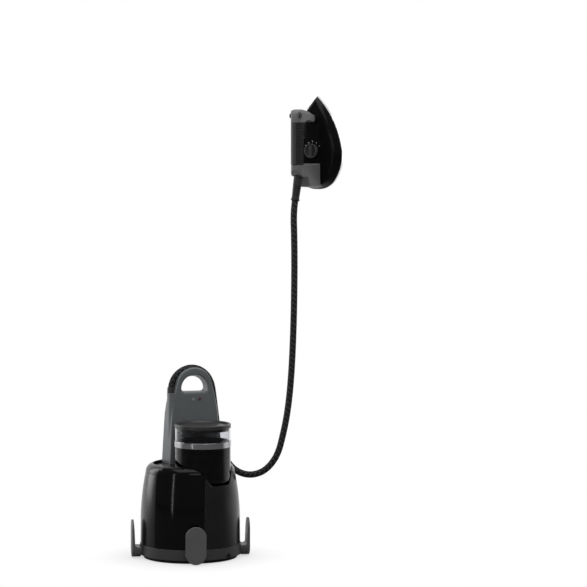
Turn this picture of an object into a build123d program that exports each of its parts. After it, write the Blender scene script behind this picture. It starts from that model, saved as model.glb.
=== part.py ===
from build123d import *
import os
from math import atan2, cos, hypot, pi, radians, sin, tan

os.makedirs("parts", exist_ok=True)

# Fits between pieces
running_gap = 0.06  # radial play of a pin that turns in its hole
seam_gap = 0.4  # between fixed covers that sit side by side
travel_gap = 0.5  # beside a piece that lifts, turns or tips
bolt_gap = 0.2  # round a screw that passes through

# Base station: a round tray with a hooked foot ring, about the Z axis
ring_radius = 106
ring_low = 7
ring_high = 29
ring_wall = 3.2
tray_floor = 3.5
foot_ring_inset = 8
foot_ring_width = 10
notch_angle = 43  # angles run from the front (-Y) towards +X
notch_width = 11.5
notch_height = 9.5
cord_bore = 3.4
gland_reach = 9
gland_length = 10
lead_run = 12

# Cord hooks on four sides
hook_angles = {"hook_front": 0, "hook_right": 90, "hook_back": 180, "hook_left": 270}
hook_low = 1.5
hook_arm_top = 24
hook_top = 80
hook_width = 43
hook_slot = 11.5
hook_top_thickness = 4.2
hook_foot_thickness = 6.5
hook_corner = 5
hook_edge = 1.2
hook_screw_spread = 24
hook_screw_height = 17.5
screw_radius = 1.75
screw_head_radius = 3.3
screw_head_height = 2.4
hook_screw_length = 11

# Shell of the base, in two covers
shell_wall = 2.6
shell_step = 1.4  # from the ring's outside in to the shell's foot
shell_waist_height = 75
shell_lean = 0.3
shell_bulge = 2.7
shoulder_step = 11.1
shoulder_height = 180
shoulder_bulge = 3.2
rim_step = 15.5
shell_top = 198
panel_angle = -20
panel_half = 53
panel_corner = 26

# Deck and tank bay
deck_top = 192
deck_thickness = 3
tank_offset = 40
tank_angle = 36
tank_radius = 58
tank_low = 160
tank_high = 276
tank_wall = 2.2
tank_corner = 10
well_gap = 1.2
well_wall = 2
well_floor = 3
well_drop = 1.5  # from the tank's underside down to the bay's floor
well_foot_radius = 4
well_foot_circle = 34

# Tower with the carrying arch
tower_x = 12.8
tower_y = 27
tower_turn = 6
tower_depth = 32
tower_wall = 3.2
tower_front_shape = {"foot": 53, "knee": (49.5, 281), "waist": (42.6, 334), "brow": (35, 366), "apex": 394}
tower_back_shape = {"foot": 65, "knee": (59.4, 284), "waist": (52.6, 330), "brow": (43, 362), "apex": 397}
tower_edge = 2.5
tower_overhang = 6
tower_cavity_top = 328
opening_low = 343
opening_corner = 9
opening_fillet = 7
opening_edge = 3.5
opening_front = (28.5, 380)  # half the width, and the top, at the front face
opening_back = (24, 374)
tower_boss_radius = 4.5
tower_boss_height = 22
tower_boss_side = 30
tower_boss_inset = 6.7
tower_screw_length = 15
board_depth = 8
board_thickness = 1.6
board_width = 50
board_low = 225
board_high = 318
board_post_radius = 3
board_post_inset = 5
lens_height = 328.5
lens_radius = 3.2
lens_white_side = -3
lens_red_side = 10.5
lens_proud = 0.7
lens_pocket = 4.4

# Steam hose
hose_diameter = 13.4
hose_depth = 17
groove_gap = 0.25
collar_low = 341
collar_length = 12
collar_radius = 8.6
collar_top_radius = 7.8
hose_pod_side = 44
hose_pod_radii = (11.8, 15)
hose_pod_foot = 225
hose_tail_height = 268
hose_end_run = 26

# Boiler and what serves it
boiler_x = -22
boiler_y = 18
boiler_gap = 7.6  # from its flange to the shell
boiler_wall = 3
boiler_low = 24
boiler_seam = 66
boiler_high = 104
flange_width = 8
flange_height = 4
lug_inset = 3.5
lug_radius = 5
flange_screw_inset = 4
flange_screw_radius = 2
flange_head_radius = 3.6
flange_head_height = 3.2
drain_radius = 8
drain_neck_wall = 4
drain_neck_drop = 11
drain_hole_radius = 12.5
plug_head_radius = 14
plug_head_height = 4.6
plug_slot = 3
heater_inner = 16
heater_inset = 8
heater_height = 7
thermostat_radius = 9
thermostat_height = 9
fitting_inset = 18
thermostat_angle = 80
safety_angle = 200
safety_radius = 7
safety_height = 22
safety_stem_radius = 4.9
inlet_angle = -35
barb_radius = 3.2
barb_length = 6
valve_block = (28, 24, 16)
valve_coil_radius = 12
valve_coil_height = 26
valve_port_height = 8
steam_tube_radius = 4
steam_tube_bend = 14
steam_run_back = 18
steam_rise = 40
steam_sidestep = 4
steam_hatch_side = 38
steam_hatch_radius = 12
steam_hatch_drop = 14
steam_tower_rise = 30
pump_angle = 51.2
pump_gap = 24.6  # from its axis out to the ring's wall
pump_radius = 17
pump_low = 16
pump_high = 96
pump_inlet_height = 84
pump_mount_radius = 6
pump_mount_spread = 18
water_tube_radius = 3.2
water_tube_bend = 11
pressure_tube_height = 124
dock_radius = 10
dock_flange_radius = 15
dock_flange = 4
dock_barb_length = 19
dock_bore = 6.5
dock_pin_radius = 2
dock_top_drop = 0.5

# Power switch in the rear cover
switch_angle = 135
switch_height = 75
switch_width = 24
switch_tall = 32
switch_depth = 20
switch_proud = 1.6
rocker_width = 15
rocker_radius = 12
rocker_axis_depth = 4
rocker_core_radius = 8.4
rocker_line = ((0, -9.6), (4.96, -11.04), (2.4, 0), (1.73, 11.9), (0, 9.6))
rocker_pin_radius = 1.5
rocker_pin_length = 2.5

# Water tank fittings
band_drop = 27.5  # from the vessel's top down to the band
band_width = 12.2
band_thickness = 1.2
band_edge = 0.7
ledge_width = 2
basket_gap = 0.3
basket_wall = 2
basket_low = 184
basket_flange = 3
basket_rise = 0.6
cage_radius = 14
cage_height = 20
cage_wall = 1.6
cage_hole = 3
poppet_hole = 8
poppet_radius = 10.5
poppet_thickness = 2.5
poppet_stem = 4
valve_spring_radius = 7
valve_spring_wire = 1
lid_radius = 58.6
lid_plate = 4
lid_height = 8
lid_rim = 4.5
lid_edge = 1.35
lid_skirt_depth = 6
lid_skirt_wall = 3
lid_skirt_gap = 0.8
seal_height = 2.2
seal_depth = 1.4
seal_proud = 0.4

# Steam iron, held upright: local x runs from heel to toe, local z from sole to handle
iron_origin = (288.6, 113.0, 765.6)
iron_yaw = 40
sole_length = 198
sole_width = 124.4
sole_widest = 82
sole_shoulder = (136, 45.7)
sole_hip = (45, 57.6)
heel_corner = (15, 40.6)
heel_curve = (3.2, 22)
sole_thickness = 7
sole_edge = 1.5
steam_hole_radius = 1.6
steam_hole_lines = ((168, 0), (152, 12), (136, 21), (118, 28), (100, 33))
skirt_inset = 1.4
skirt_lean = 24
skirt_height = 24
deck_line = ((-4, 24), (46, 25.8), (95, 25.8), (150, 23), (202, 14))
cavity_inset = 10.5
cavity_height = 11
cavity_front = 138
block_inset = 13.5
block_height = 8
block_front = 132
dial_place = 82
dial_radius = 15.4
dial_lift = 27.5
dial_height = 7
dial_grip_width = 7
dial_edge = 1
dial_recess_radius = 12.7
spindle_radius = 3
spindle_drop = 10
regulator_radius = 13
regulator_height = 6
handle_height = 87
core_radius = 11
grip_radius = 13.6
grip_start = 54
grip_end = 143
grip_rib = 4.45
grip_rib_depth = 1.2
rib_rise = 0.3  # where a rib's flat crest starts and ends, as parts of its pitch
rib_fall = 0.8
spine_half = 5
spine_radius = 14.2
arch_top = 101
arch_apex = 101.8
arch_front = ((153, 101.2), (163, 99.4), (169.5, 92), (170.5, 79), (165.5, 60))
arch_end = ((159, 44), (151, 34), (143.5, 44))
arch_back = ((146, 56), (147, 66))
arch_nose = 172.5
arch_half = 13
arch_corner = 12
arch_section = ((11, 28), (12.8, 50), (12.8, 74), (12, 90))
arch_crown = (8.5, 98.6)
post_place = 151.5
post_size = (14, 16)
post_corner = 4
post_top = 42
heel_top = 99.5
heel_foot = ((2, 18), (55.5, 18))
heel_back = ((3, 42), (8, 62))
heel_seat = ((28, 70), (29, 85))
heel_rise = ((34, 93), (44, 99.5))
heel_section = ((22, 10), (18.5, 33), (16, 60), (12.9, 84))
heel_crown = (9.2, 96.6)
heel_apex = 100.3
heel_inset = 3.4
heel_lean = 3
pivot_place = 157
pivot_height = 93
pin_radius = 2.5
pin_half_length = 12.6
pin_head_radius = 5
pin_head_height = 2.2
trigger_width = 12
trigger_hub = 4
trigger_line = (
    (153.5, 91), (147.5, 73.5), (140, 69.5), (112, 66.5), (109.5, 63),
    (112, 60), (150, 63.5), (156.5, 72), (160.5, 91),
)
slot_back = 142
slot_front = 162
slot_low = 62
slot_high = 97.6
trigger_spring_radius = 2.2
trigger_spring_height = 81
trigger_spring_length = 6
boot_place = 36
boot_height = 80.5
boot_tilt = 14.5
boot_length = 58.6
boot_root_radius = 9.8
boot_tip_radius = 8
boot_flange_radius = 9.2
boot_flange = 3
boot_grooves = 6
boot_groove_start = 28
boot_groove_pitch = 4.05
boot_groove_depth = 0.9
boot_groove_width = 1.6

centre_low = (Align.CENTER, Align.CENTER, Align.MIN)
centre_high = (Align.CENTER, Align.CENTER, Align.MAX)
hose_radius = hose_diameter / 2
foot_ring_radius = ring_radius - foot_ring_inset
shell_foot_radius = ring_radius - shell_step
shoulder_radius = shell_foot_radius - shoulder_step
rim_radius = shoulder_radius - rim_step
tower_plan_radius = rim_radius + tower_overhang
flange_radius = shell_foot_radius - shell_wall - boiler_gap - hypot(boiler_x, boiler_y)
boiler_radius = flange_radius - flange_width
lug_circle = flange_radius - lug_inset
flange_screw_circle = flange_radius - flange_screw_inset
heater_outer = boiler_radius - heater_inset
fitting_circle = boiler_radius - fitting_inset
pump_circle = ring_radius - ring_wall - pump_gap
pump_x = pump_circle * sin(radians(pump_angle))
pump_y = -pump_circle * cos(radians(pump_angle))
band_high = tank_high - band_drop
band_low = band_high - band_width
basket_high = band_high + basket_rise
tray_top = ring_low + tray_floor
deck_low = deck_top - deck_thickness
well_top = tank_low - well_drop
well_low = well_top - well_floor
well_radius = tank_radius + well_gap
tank_x = tank_offset * sin(radians(tank_angle))
tank_y = -tank_offset * cos(radians(tank_angle))
tank_plane = Plane(origin=(tank_x, tank_y, 0), x_dir=(1, 0, 0), z_dir=(0, -1, 0))
tank_axis = Axis((tank_x, tank_y, 0), (0, 0, 1))
boiler_plane = Plane(origin=(boiler_x, boiler_y, 0), x_dir=(1, 0, 0), z_dir=(0, -1, 0))
boiler_axis = Axis((boiler_x, boiler_y, 0), (0, 0, 1))


def meridian(angle):
    """The upright plane through the base's axis: local x points outwards, local y up."""
    turn = radians(angle)
    return Plane(origin=(0, 0, 0), x_dir=(sin(turn), -cos(turn), 0), z_dir=(-cos(turn), -sin(turn), 0))


def facing(angle, radius, height):
    """An upright plane that faces outwards: local x runs along the rim, local y up."""
    turn = radians(angle)
    place = (radius * sin(turn), -radius * cos(turn), height)
    return Plane(origin=place, x_dir=(cos(turn), sin(turn), 0), z_dir=(sin(turn), -cos(turn), 0))


def level(x, y, z):
    """A level plane at a place."""
    return Plane(origin=(x, y, z))


def bend_radii(points):
    """The largest arc that each corner of a hose's route leaves room for."""
    radii = []
    for before, here, after in zip(points, points[1:], points[2:]):
        arriving = Vector(*here) - Vector(*before)
        leaving = Vector(*after) - Vector(*here)
        turn = radians(arriving.get_angle(leaving))
        radii.append(0.49 * min(arriving.length, leaving.length) / tan(turn / 2))
    return radii


def tube(points, radii, radius):
    """A round tube along straight runs joined by tangent arcs."""
    with BuildPart() as pipe:
        with BuildLine() as route:
            FilletPolyline(*points, radius=radii)
        path = route.wire()
        with BuildSketch(Plane(origin=path @ 0, z_dir=path % 0)):
            Circle(radius)
        sweep()
    print("tube", round(path.length, 1), "mm long, arcs", [round(bend, 1) for bend in radii])
    print("volume over section times length", round(pipe.part.volume / (pi * radius**2 * path.length), 4))
    return pipe


def notch_outline():
    """The arched notch in the ring's lower edge that the mains lead leaves through."""
    with BuildSketch() as notch:
        with Locations((0, notch_height - notch_width / 2)):
            Circle(notch_width / 2)
            Rectangle(notch_width, notch_height, align=(Align.CENTER, Align.MAX))
        Rectangle(notch_width, notch_height, align=(Align.CENTER, Align.MIN), mode=Mode.INTERSECT)
    return notch.sketch


def hook_screw_planes(angle):
    """Where a hook's two screws seat on the ring's inner wall, facing outwards."""
    seat = facing(angle, ring_radius - ring_wall, hook_screw_height)
    spread = hook_screw_spread / 2
    return [seat.shift_origin(seat.from_local_coords((side, 0, 0))) for side in (-spread, spread)]


# Tray that everything stands on
with BuildPart() as base_tray:
    with BuildSketch(Plane.XZ):
        with BuildLine():
            Polyline(
                (0, ring_low),
                (ring_radius, ring_low),
                (ring_radius, ring_high),
                (ring_radius - ring_wall, ring_high),
                (ring_radius - ring_wall, tray_top),
                (0, tray_top),
                close=True,
            )
        make_face()
    revolve(axis=Axis.Z)
    with BuildSketch(facing(notch_angle, ring_radius - gland_reach - lead_run, ring_low)):
        add(notch_outline())
    extrude(amount=2 * gland_reach + lead_run, mode=Mode.SUBTRACT)
    with Locations(level(boiler_x, boiler_y, ring_low)):
        Cylinder(drain_hole_radius, tray_floor, align=centre_low, mode=Mode.SUBTRACT)
    for angle in hook_angles.values():
        with Locations(*hook_screw_planes(angle)):
            Cylinder(screw_radius + bolt_gap, 2 * ring_wall, align=centre_low, mode=Mode.SUBTRACT)
            Cylinder(screw_head_radius + bolt_gap, ring_wall, align=centre_high, mode=Mode.SUBTRACT)
base_tray.part.label = "base_tray"
export_step(base_tray.part, "parts/base_tray.step")

with BuildPart() as foot_ring:
    with BuildSketch():
        Circle(foot_ring_radius)
        Circle(foot_ring_radius - foot_ring_width, mode=Mode.SUBTRACT)
    extrude(amount=ring_low)
foot_ring.part.label = "foot_ring"
export_step(foot_ring.part, "parts/foot_ring.step")

# Bush that the mains lead would leave through, seated in the ring's notch
with BuildPart() as cord_gland:
    with BuildSketch(facing(notch_angle, ring_radius - gland_reach, ring_low)):
        add(notch_outline())
        with Locations((0, notch_height / 2)):
            Circle(cord_bore, mode=Mode.SUBTRACT)
    extrude(amount=gland_length)
cord_gland.part.label = "cord_gland"
export_step(cord_gland.part, "parts/cord_gland.step")

# L-shaped hooks that the cords wind on, and the screws that hold them to the ring
hook_inner = ring_radius + hook_slot
hook_outer = hook_inner + hook_foot_thickness
for name, angle in hook_angles.items():
    with BuildPart() as hook:
        with BuildSketch(meridian(angle)) as side:
            with BuildLine():
                Polyline(
                    (ring_radius - ring_wall, hook_low),
                    (hook_outer, hook_low),
                    (hook_outer, hook_top),
                    (hook_outer - hook_top_thickness, hook_top),
                    (hook_inner, hook_arm_top),
                    (ring_radius - ring_wall, hook_arm_top),
                    close=True,
                )
            make_face()
            fillet(side.vertices().sort_by_distance((hook_inner, hook_arm_top))[0], hook_corner)
        extrude(amount=hook_width, both=True)
        with BuildSketch(facing(angle, 0, (hook_low + hook_top) / 2)):
            SlotOverall(hook_top - hook_low, hook_width, rotation=90)
        extrude(amount=2 * ring_radius, mode=Mode.INTERSECT)
        Cylinder(ring_radius, ring_high, align=centre_low, mode=Mode.SUBTRACT)
        outer_face = hook.faces().sort_by_distance(facing(angle, 2 * hook_outer, hook_top / 2).origin)[0]
        fillet(outer_face.edges(), hook_edge)
        with Locations(*hook_screw_planes(angle)):
            Cylinder(screw_radius, hook_screw_length, align=centre_low, mode=Mode.SUBTRACT)
    hook.part.label = name
    export_step(hook.part, f"parts/{name}.step")

with BuildPart() as hook_screws:
    for angle in hook_angles.values():
        with Locations(*hook_screw_planes(angle)):
            Cylinder(screw_radius, hook_screw_length, align=centre_low)
            Cylinder(screw_head_radius, screw_head_height, align=centre_high)
hook_screws.part.label = "hook_screws"
export_step(hook_screws.part, "parts/hook_screws.step")


def shell_line(inset):
    """The shell's upright line, set in by a wall, from the tray up to the rim."""
    foot = (shell_foot_radius - inset, ring_high)
    waist = (shell_foot_radius - shell_lean - inset, shell_waist_height)
    shoulder = (shoulder_radius - inset, shoulder_height)
    rim = (rim_radius, shell_top - inset)
    belly = ((waist[0] + shoulder[0]) / 2 + shell_bulge, (waist[1] + shoulder[1]) / 2)
    crown = ((shoulder[0] + rim[0]) / 2 + shoulder_bulge, (shoulder[1] + rim[1]) / 2 + shoulder_bulge)
    Line(foot, waist)
    ThreePointArc(waist, belly, shoulder)
    ThreePointArc(shoulder, crown, rim)
    return foot, rim


def shell_inside():
    """The space that the shell's covers close in."""
    with BuildPart() as inside:
        with BuildSketch(Plane.XZ):
            with BuildLine():
                foot, rim = shell_line(shell_wall)
                Polyline(foot, (0, foot[1]), (0, rim[1]), rim)
            make_face()
        revolve(axis=Axis.Z)
    return inside.part


def tower_outline(shape, foot, grow):
    """Half of the tower's outline on one face, mirrored: foot, flank, waist and arch."""
    knee = (shape["knee"][0] + grow, shape["knee"][1])
    waist = (shape["waist"][0] + grow, shape["waist"][1])
    brow = (shape["brow"][0] + grow, shape["brow"][1])
    apex = shape["apex"] + grow
    rise = apex - brow[1]
    bow = (brow[0] ** 2 + rise**2) / (2 * rise)
    half = atan2(brow[0], brow[1] - apex + bow) / 2
    crown = (bow * sin(half), apex - bow + bow * cos(half))
    with BuildLine() as outline:
        Polyline((0, foot), (shape["foot"] + grow, foot), knee)
        ThreePointArc(knee, waist, brow)
        ThreePointArc(brow, crown, (0, apex))
        mirror(about=Plane.YZ)
    return outline.edges()


tower_turned = radians(tower_turn)
tower_plane = Plane(
    origin=(tower_x, tower_y, 0),
    x_dir=(cos(tower_turned), sin(tower_turned), 0),
    z_dir=(sin(tower_turned), -cos(tower_turned), 0),
)
hose_plane = tower_plane.offset(-hose_depth)


def tower_place(side, depth, height):
    """A point of the tower: sideways from its middle, back from its front face, and up."""
    return tower_plane.from_local_coords((side, height, -depth))


def tower_block(foot, grow):
    """The tower's whole volume, wider at the back than at the front."""
    with BuildPart() as block:
        with BuildSketch(tower_plane.offset(grow)):
            make_face(tower_outline(tower_front_shape, foot, grow))
        with BuildSketch(tower_plane.offset(-tower_depth - grow)):
            make_face(tower_outline(tower_back_shape, foot, grow))
        loft(ruled=True)
        tall = tower_back_shape["apex"] + ring_radius
        Cylinder(tower_plan_radius + grow, tall, align=centre_low, mode=Mode.INTERSECT)
    return block.part


# Gloss front panel and rear cover, cut back for the tank bay and the tower's foot
def panel_window(grow):
    """The space that the front panel takes up: as wide as the panel, with rounded top corners."""
    with BuildPart() as window:
        with BuildSketch(facing(panel_angle, 0, ring_high)) as outline:
            tall = shell_top - ring_high + 2 * grow
            Rectangle(2 * (panel_half + grow), tall, align=(Align.CENTER, Align.MIN))
            fillet(outline.vertices().group_by(Axis.Y)[-1], panel_corner)
        extrude(amount=2 * ring_radius)
    return window.part


with BuildPart() as shell:
    with BuildSketch(Plane.XZ):
        with BuildLine():
            foot, rim = shell_line(0)
            inner_foot, inner_rim = shell_line(shell_wall)
            Line(foot, inner_foot)
            Line(rim, inner_rim)
        make_face()
    revolve(axis=Axis.Z)
    with Locations(level(tank_x, tank_y, well_top)):
        Cylinder(well_radius, shell_top, align=centre_low, mode=Mode.SUBTRACT)
    add(tower_block(deck_low, seam_gap), mode=Mode.SUBTRACT)

with BuildPart() as front_panel:
    add(shell.part)
    add(panel_window(0), mode=Mode.INTERSECT)
front_panel.part.label = "front_panel"
export_step(front_panel.part, "parts/front_panel.step")

switch_face = facing(switch_angle, shell_foot_radius + switch_proud, switch_height)
with BuildPart() as rear_shell:
    add(shell.part)
    add(panel_window(seam_gap), mode=Mode.SUBTRACT)
    with BuildSketch(switch_face):
        Rectangle(switch_width, switch_tall)
    extrude(amount=-switch_depth, mode=Mode.SUBTRACT)
rear_shell.part.label = "rear_shell"
export_step(rear_shell.part, "parts/rear_shell.step")

# Deck inside the rim, and the bay that the tank stands in
steam_hatch = tower_place(-steam_hatch_side, hose_depth, 0)
post_depths = {Keep.TOP: tower_boss_inset, Keep.BOTTOM: tower_depth - tower_boss_inset}
with BuildPart() as top_deck:
    add(shell_inside())
    with Locations(level(0, 0, deck_low)):
        Cylinder(2 * ring_radius, deck_thickness, align=centre_low, mode=Mode.INTERSECT)
    with Locations(level(tank_x, tank_y, deck_low)):
        Cylinder(well_radius, deck_thickness, align=centre_low, mode=Mode.SUBTRACT)
    with Locations(level(steam_hatch.X, steam_hatch.Y, deck_low)):
        Cylinder(steam_hatch_radius, deck_thickness, align=centre_low, mode=Mode.SUBTRACT)
    for side in (-tower_boss_side, tower_boss_side):
        for depth in post_depths.values():
            with Locations(Plane(tower_place(side, depth, deck_low))):
                Cylinder(screw_radius + bolt_gap, deck_thickness, align=centre_low, mode=Mode.SUBTRACT)
top_deck.part.label = "top_deck"
export_step(top_deck.part, "parts/top_deck.step")

with BuildPart() as tank_well:
    with Locations(level(tank_x, tank_y, well_low)):
        Cylinder(well_radius + well_wall, deck_low - well_low, align=centre_low)
    add(shell_inside(), mode=Mode.INTERSECT)
    with Locations(level(tank_x, tank_y, well_top)):
        Cylinder(well_radius, shell_top, align=centre_low, mode=Mode.SUBTRACT)
    with Locations(level(tank_x, tank_y, well_top)):
        with PolarLocations(well_foot_circle, 3, start_angle=60):
            Cylinder(well_foot_radius, well_drop, align=centre_low)
    with Locations(level(tank_x, tank_y, well_low)):
        Cylinder(dock_radius, well_floor, align=centre_low, mode=Mode.SUBTRACT)
tank_well.part.label = "tank_well"
export_step(tank_well.part, "parts/tank_well.step")

# Hose: up out of the tower's left boss, over the arch in its groove, then free to the iron
held_points = [
    (-47.5, hose_tail_height), (-47.5, 355.5), (-41.3, 372.5), (-29, 385.6), (-12.2, 393.2), (5.2, 393.2),
    (21.5, 385.6), (33.4, 372.5), (40.1, 356), (43.4, 332), (46.6, 306), (49.4, 283), (51.4, 262),
]
held_route = [tuple(tower_place(side, hose_depth, height)) for side, height in held_points]
held_radii = bend_radii(held_route)
hose_on_handle = tube(held_route, held_radii, hose_radius)
hose_on_handle.part.label = "hose_on_handle"
export_step(hose_on_handle.part, "parts/hose_on_handle.step")
held_end = Vector(*held_route[-1])
held_way = held_end - Vector(*held_route[-2])
leaving_route = [held_route[-1], tuple(held_end + held_way), (72.6, 50.3, 216), (82.3, 49.6, 193)]
groove_route = held_route[:-1] + leaving_route[1:]
groove_radii = held_radii + bend_radii(leaving_route)
hose_groove = tube(groove_route, groove_radii, hose_radius + groove_gap)
hose_exit = tower_place(held_points[0][0], hose_depth, collar_low)

with BuildPart() as hose_collar:
    with Locations(Plane(hose_exit)):
        Cone(collar_radius, collar_top_radius, collar_length, align=centre_low)
        Cylinder(hose_radius, collar_length, align=centre_low, mode=Mode.SUBTRACT)
    add(hose_on_handle.part, mode=Mode.SUBTRACT)
hose_collar.part.label = "hose_collar"
export_step(hose_collar.part, "parts/hose_collar.step")


def opening_outline(half, high):
    """The carrying opening's outline on one face."""
    shoulder = opening_low + opening_corner
    with BuildSketch() as hole:
        with BuildLine():
            Polyline((-half, shoulder), (-half, opening_low), (half, opening_low), (half, shoulder))
            ThreePointArc((half, shoulder), (0, high), (-half, shoulder))
        make_face()
        fillet(hole.vertices().group_by(Axis.Y)[0], opening_fillet)
    return hole.sketch


def tower_half(side):
    """One half of the tower, parted along the hose's plane."""
    with BuildPart() as half:
        add(tower_block(deck_top, 0))
        pod_place = tower_place(-hose_pod_side, hose_depth, hose_pod_foot)
        with BuildSketch(Plane(pod_place, x_dir=tower_plane.x_dir, z_dir=(0, 0, 1))):
            Ellipse(*hose_pod_radii)
        extrude(amount=collar_low - hose_pod_foot)
        with BuildSketch(tower_plane):
            add(opening_outline(*opening_front))
        with BuildSketch(tower_plane.offset(-tower_depth)):
            add(opening_outline(*opening_back))
        loft(ruled=True, mode=Mode.SUBTRACT)
        split(bisect_by=hose_plane, keep=side)
        hollow = tower_block(deck_top, -tower_wall)
        ceiling = Plane.XY.offset(tower_cavity_top)
        add(split(hollow, bisect_by=ceiling, keep=Keep.BOTTOM, mode=Mode.PRIVATE), mode=Mode.SUBTRACT)
        add(hose_groove.part, mode=Mode.SUBTRACT)
        add(hose_collar.part, mode=Mode.SUBTRACT)
        tail_bore = steam_tube_radius + travel_gap
        with Locations(Plane(tower_place(held_points[0][0], hose_depth, deck_top))):
            Cylinder(tail_bore, hose_tail_height - deck_top, align=centre_low, mode=Mode.SUBTRACT)
    return half


front_half = tower_half(Keep.TOP)
with BuildPart() as tower_front:
    add(front_half.part)
    forwards = Axis((0, 0, 0), tower_plane.z_dir)
    front_edges = tower_front.faces().sort_by(forwards)[-1].outer_wire().edges()
    fillet(front_edges.sort_by(Axis.Z)[1:], tower_edge)
    opening_edges = tower_front.faces().sort_by(forwards)[-1].inner_wires()[0].edges()
    fillet(opening_edges, opening_edge)
    for side in (-tower_boss_side, tower_boss_side):
        with Locations(Plane(tower_place(side, post_depths[Keep.TOP], deck_top))):
            Cylinder(tower_boss_radius, tower_boss_height, align=centre_low)
            Cylinder(screw_radius, tower_screw_length, align=centre_low, mode=Mode.SUBTRACT)
    with BuildSketch(tower_plane.offset(-board_depth)):
        with Locations((0, (board_low + board_high) / 2)):
            with GridLocations(
                board_width - 2 * board_post_inset, board_high - board_low - 2 * board_post_inset, 2, 2
            ):
                Circle(board_post_radius)
    extrude(amount=board_depth - tower_wall / 2)
    with BuildSketch(tower_plane):
        with Locations((lens_white_side, lens_height), (lens_red_side, lens_height)):
            Circle(lens_radius)
    extrude(amount=-lens_pocket, mode=Mode.SUBTRACT)
tower_front.part.label = "tower_front"
export_step(tower_front.part, "parts/tower_front.step")

back_half = tower_half(Keep.BOTTOM)
with BuildPart() as tower_back:
    add(back_half.part)
    for side in (-tower_boss_side, tower_boss_side):
        with Locations(Plane(tower_place(side, post_depths[Keep.BOTTOM], deck_top))):
            Cylinder(tower_boss_radius, tower_boss_height, align=centre_low)
            Cylinder(screw_radius, tower_screw_length, align=centre_low, mode=Mode.SUBTRACT)
tower_back.part.label = "tower_back"
export_step(tower_back.part, "parts/tower_back.step")

with BuildPart() as tower_screws:
    for side in (-tower_boss_side, tower_boss_side):
        for depth in post_depths.values():
            with Locations(Plane(tower_place(side, depth, deck_low))):
                Cylinder(screw_radius, deck_thickness + tower_screw_length, align=centre_low)
                Cylinder(screw_head_radius, screw_head_height, align=centre_high)
tower_screws.part.label = "tower_screws"
export_step(tower_screws.part, "parts/tower_screws.step")

with BuildPart() as lens_white:
    with BuildSketch(tower_plane.offset(lens_proud)):
        with Locations((lens_white_side, lens_height)):
            Circle(lens_radius)
    extrude(amount=-lens_proud - tower_wall)
lens_white.part.label = "lens_white"
export_step(lens_white.part, "parts/lens_white.step")

with BuildPart() as lens_red:
    with BuildSketch(tower_plane.offset(lens_proud)):
        with Locations((lens_red_side, lens_height)):
            Circle(lens_radius)
    extrude(amount=-lens_proud - tower_wall)
lens_red.part.label = "lens_red"
export_step(lens_red.part, "parts/lens_red.step")

with BuildPart() as control_board:
    with BuildSketch(tower_plane.offset(-board_depth)):
        with Locations((0, (board_low + board_high) / 2)):
            Rectangle(board_width, board_high - board_low)
    extrude(amount=-board_thickness)
control_board.part.label = "control_board"
export_step(control_board.part, "parts/control_board.step")

# Boiler: two flanged pressings on three legs, with its heater, valves and fittings
neck_low = boiler_low - drain_neck_drop
with BuildPart() as boiler_lower:
    with BuildSketch(boiler_plane):
        with BuildLine():
            Polyline(
                (drain_radius + running_gap, neck_low),
                (drain_radius + drain_neck_wall, neck_low),
                (drain_radius + drain_neck_wall, boiler_low),
                (boiler_radius, boiler_low),
                (boiler_radius, boiler_seam - flange_height),
                (flange_radius, boiler_seam - flange_height),
                (flange_radius, boiler_seam),
                (boiler_radius - boiler_wall, boiler_seam),
                (boiler_radius - boiler_wall, boiler_low + boiler_wall),
                (drain_radius + running_gap, boiler_low + boiler_wall),
                close=True,
            )
        make_face()
    revolve(axis=boiler_axis)
    with Locations(level(boiler_x, boiler_y, tray_top)):
        with PolarLocations(lug_circle, 3, start_angle=30):
            Cylinder(lug_radius, boiler_seam - flange_height - tray_top, align=centre_low)
    with Locations(level(boiler_x, boiler_y, boiler_seam)):
        with PolarLocations(flange_screw_circle, 6):
            Cylinder(flange_screw_radius + bolt_gap, 3 * flange_height, mode=Mode.SUBTRACT)
boiler_lower.part.label = "boiler_lower"
export_step(boiler_lower.part, "parts/boiler_lower.step")

with BuildPart() as boiler_upper:
    with BuildSketch(boiler_plane):
        with BuildLine():
            Polyline(
                (0, boiler_high),
                (boiler_radius, boiler_high),
                (boiler_radius, boiler_seam + flange_height),
                (flange_radius, boiler_seam + flange_height),
                (flange_radius, boiler_seam),
                (boiler_radius - boiler_wall, boiler_seam),
                (boiler_radius - boiler_wall, boiler_high - boiler_wall),
                (0, boiler_high - boiler_wall),
                close=True,
            )
        make_face()
    revolve(axis=boiler_axis)
    with Locations(level(boiler_x, boiler_y, boiler_seam)):
        with PolarLocations(flange_screw_circle, 6):
            Cylinder(flange_screw_radius + bolt_gap, 3 * flange_height, mode=Mode.SUBTRACT)
    with Locations(level(boiler_x, boiler_y, boiler_high)):
        with PolarLocations(fitting_circle, 1, start_angle=inlet_angle):
            Cylinder(barb_radius, barb_length, align=centre_low)
boiler_upper.part.label = "boiler_upper"
export_step(boiler_upper.part, "parts/boiler_upper.step")

with BuildPart() as boiler_screws:
    with Locations(level(boiler_x, boiler_y, boiler_seam)):
        with PolarLocations(flange_screw_circle, 6):
            Cylinder(flange_screw_radius, 2 * flange_height)
    for face, side in ((boiler_seam + flange_height, Align.MIN), (boiler_seam - flange_height, Align.MAX)):
        with Locations(level(boiler_x, boiler_y, face)):
            with PolarLocations(flange_screw_circle, 6):
                Cylinder(flange_head_radius, flange_head_height, align=(Align.CENTER, Align.CENTER, side))
boiler_screws.part.label = "boiler_screws"
export_step(boiler_screws.part, "parts/boiler_screws.step")

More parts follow.
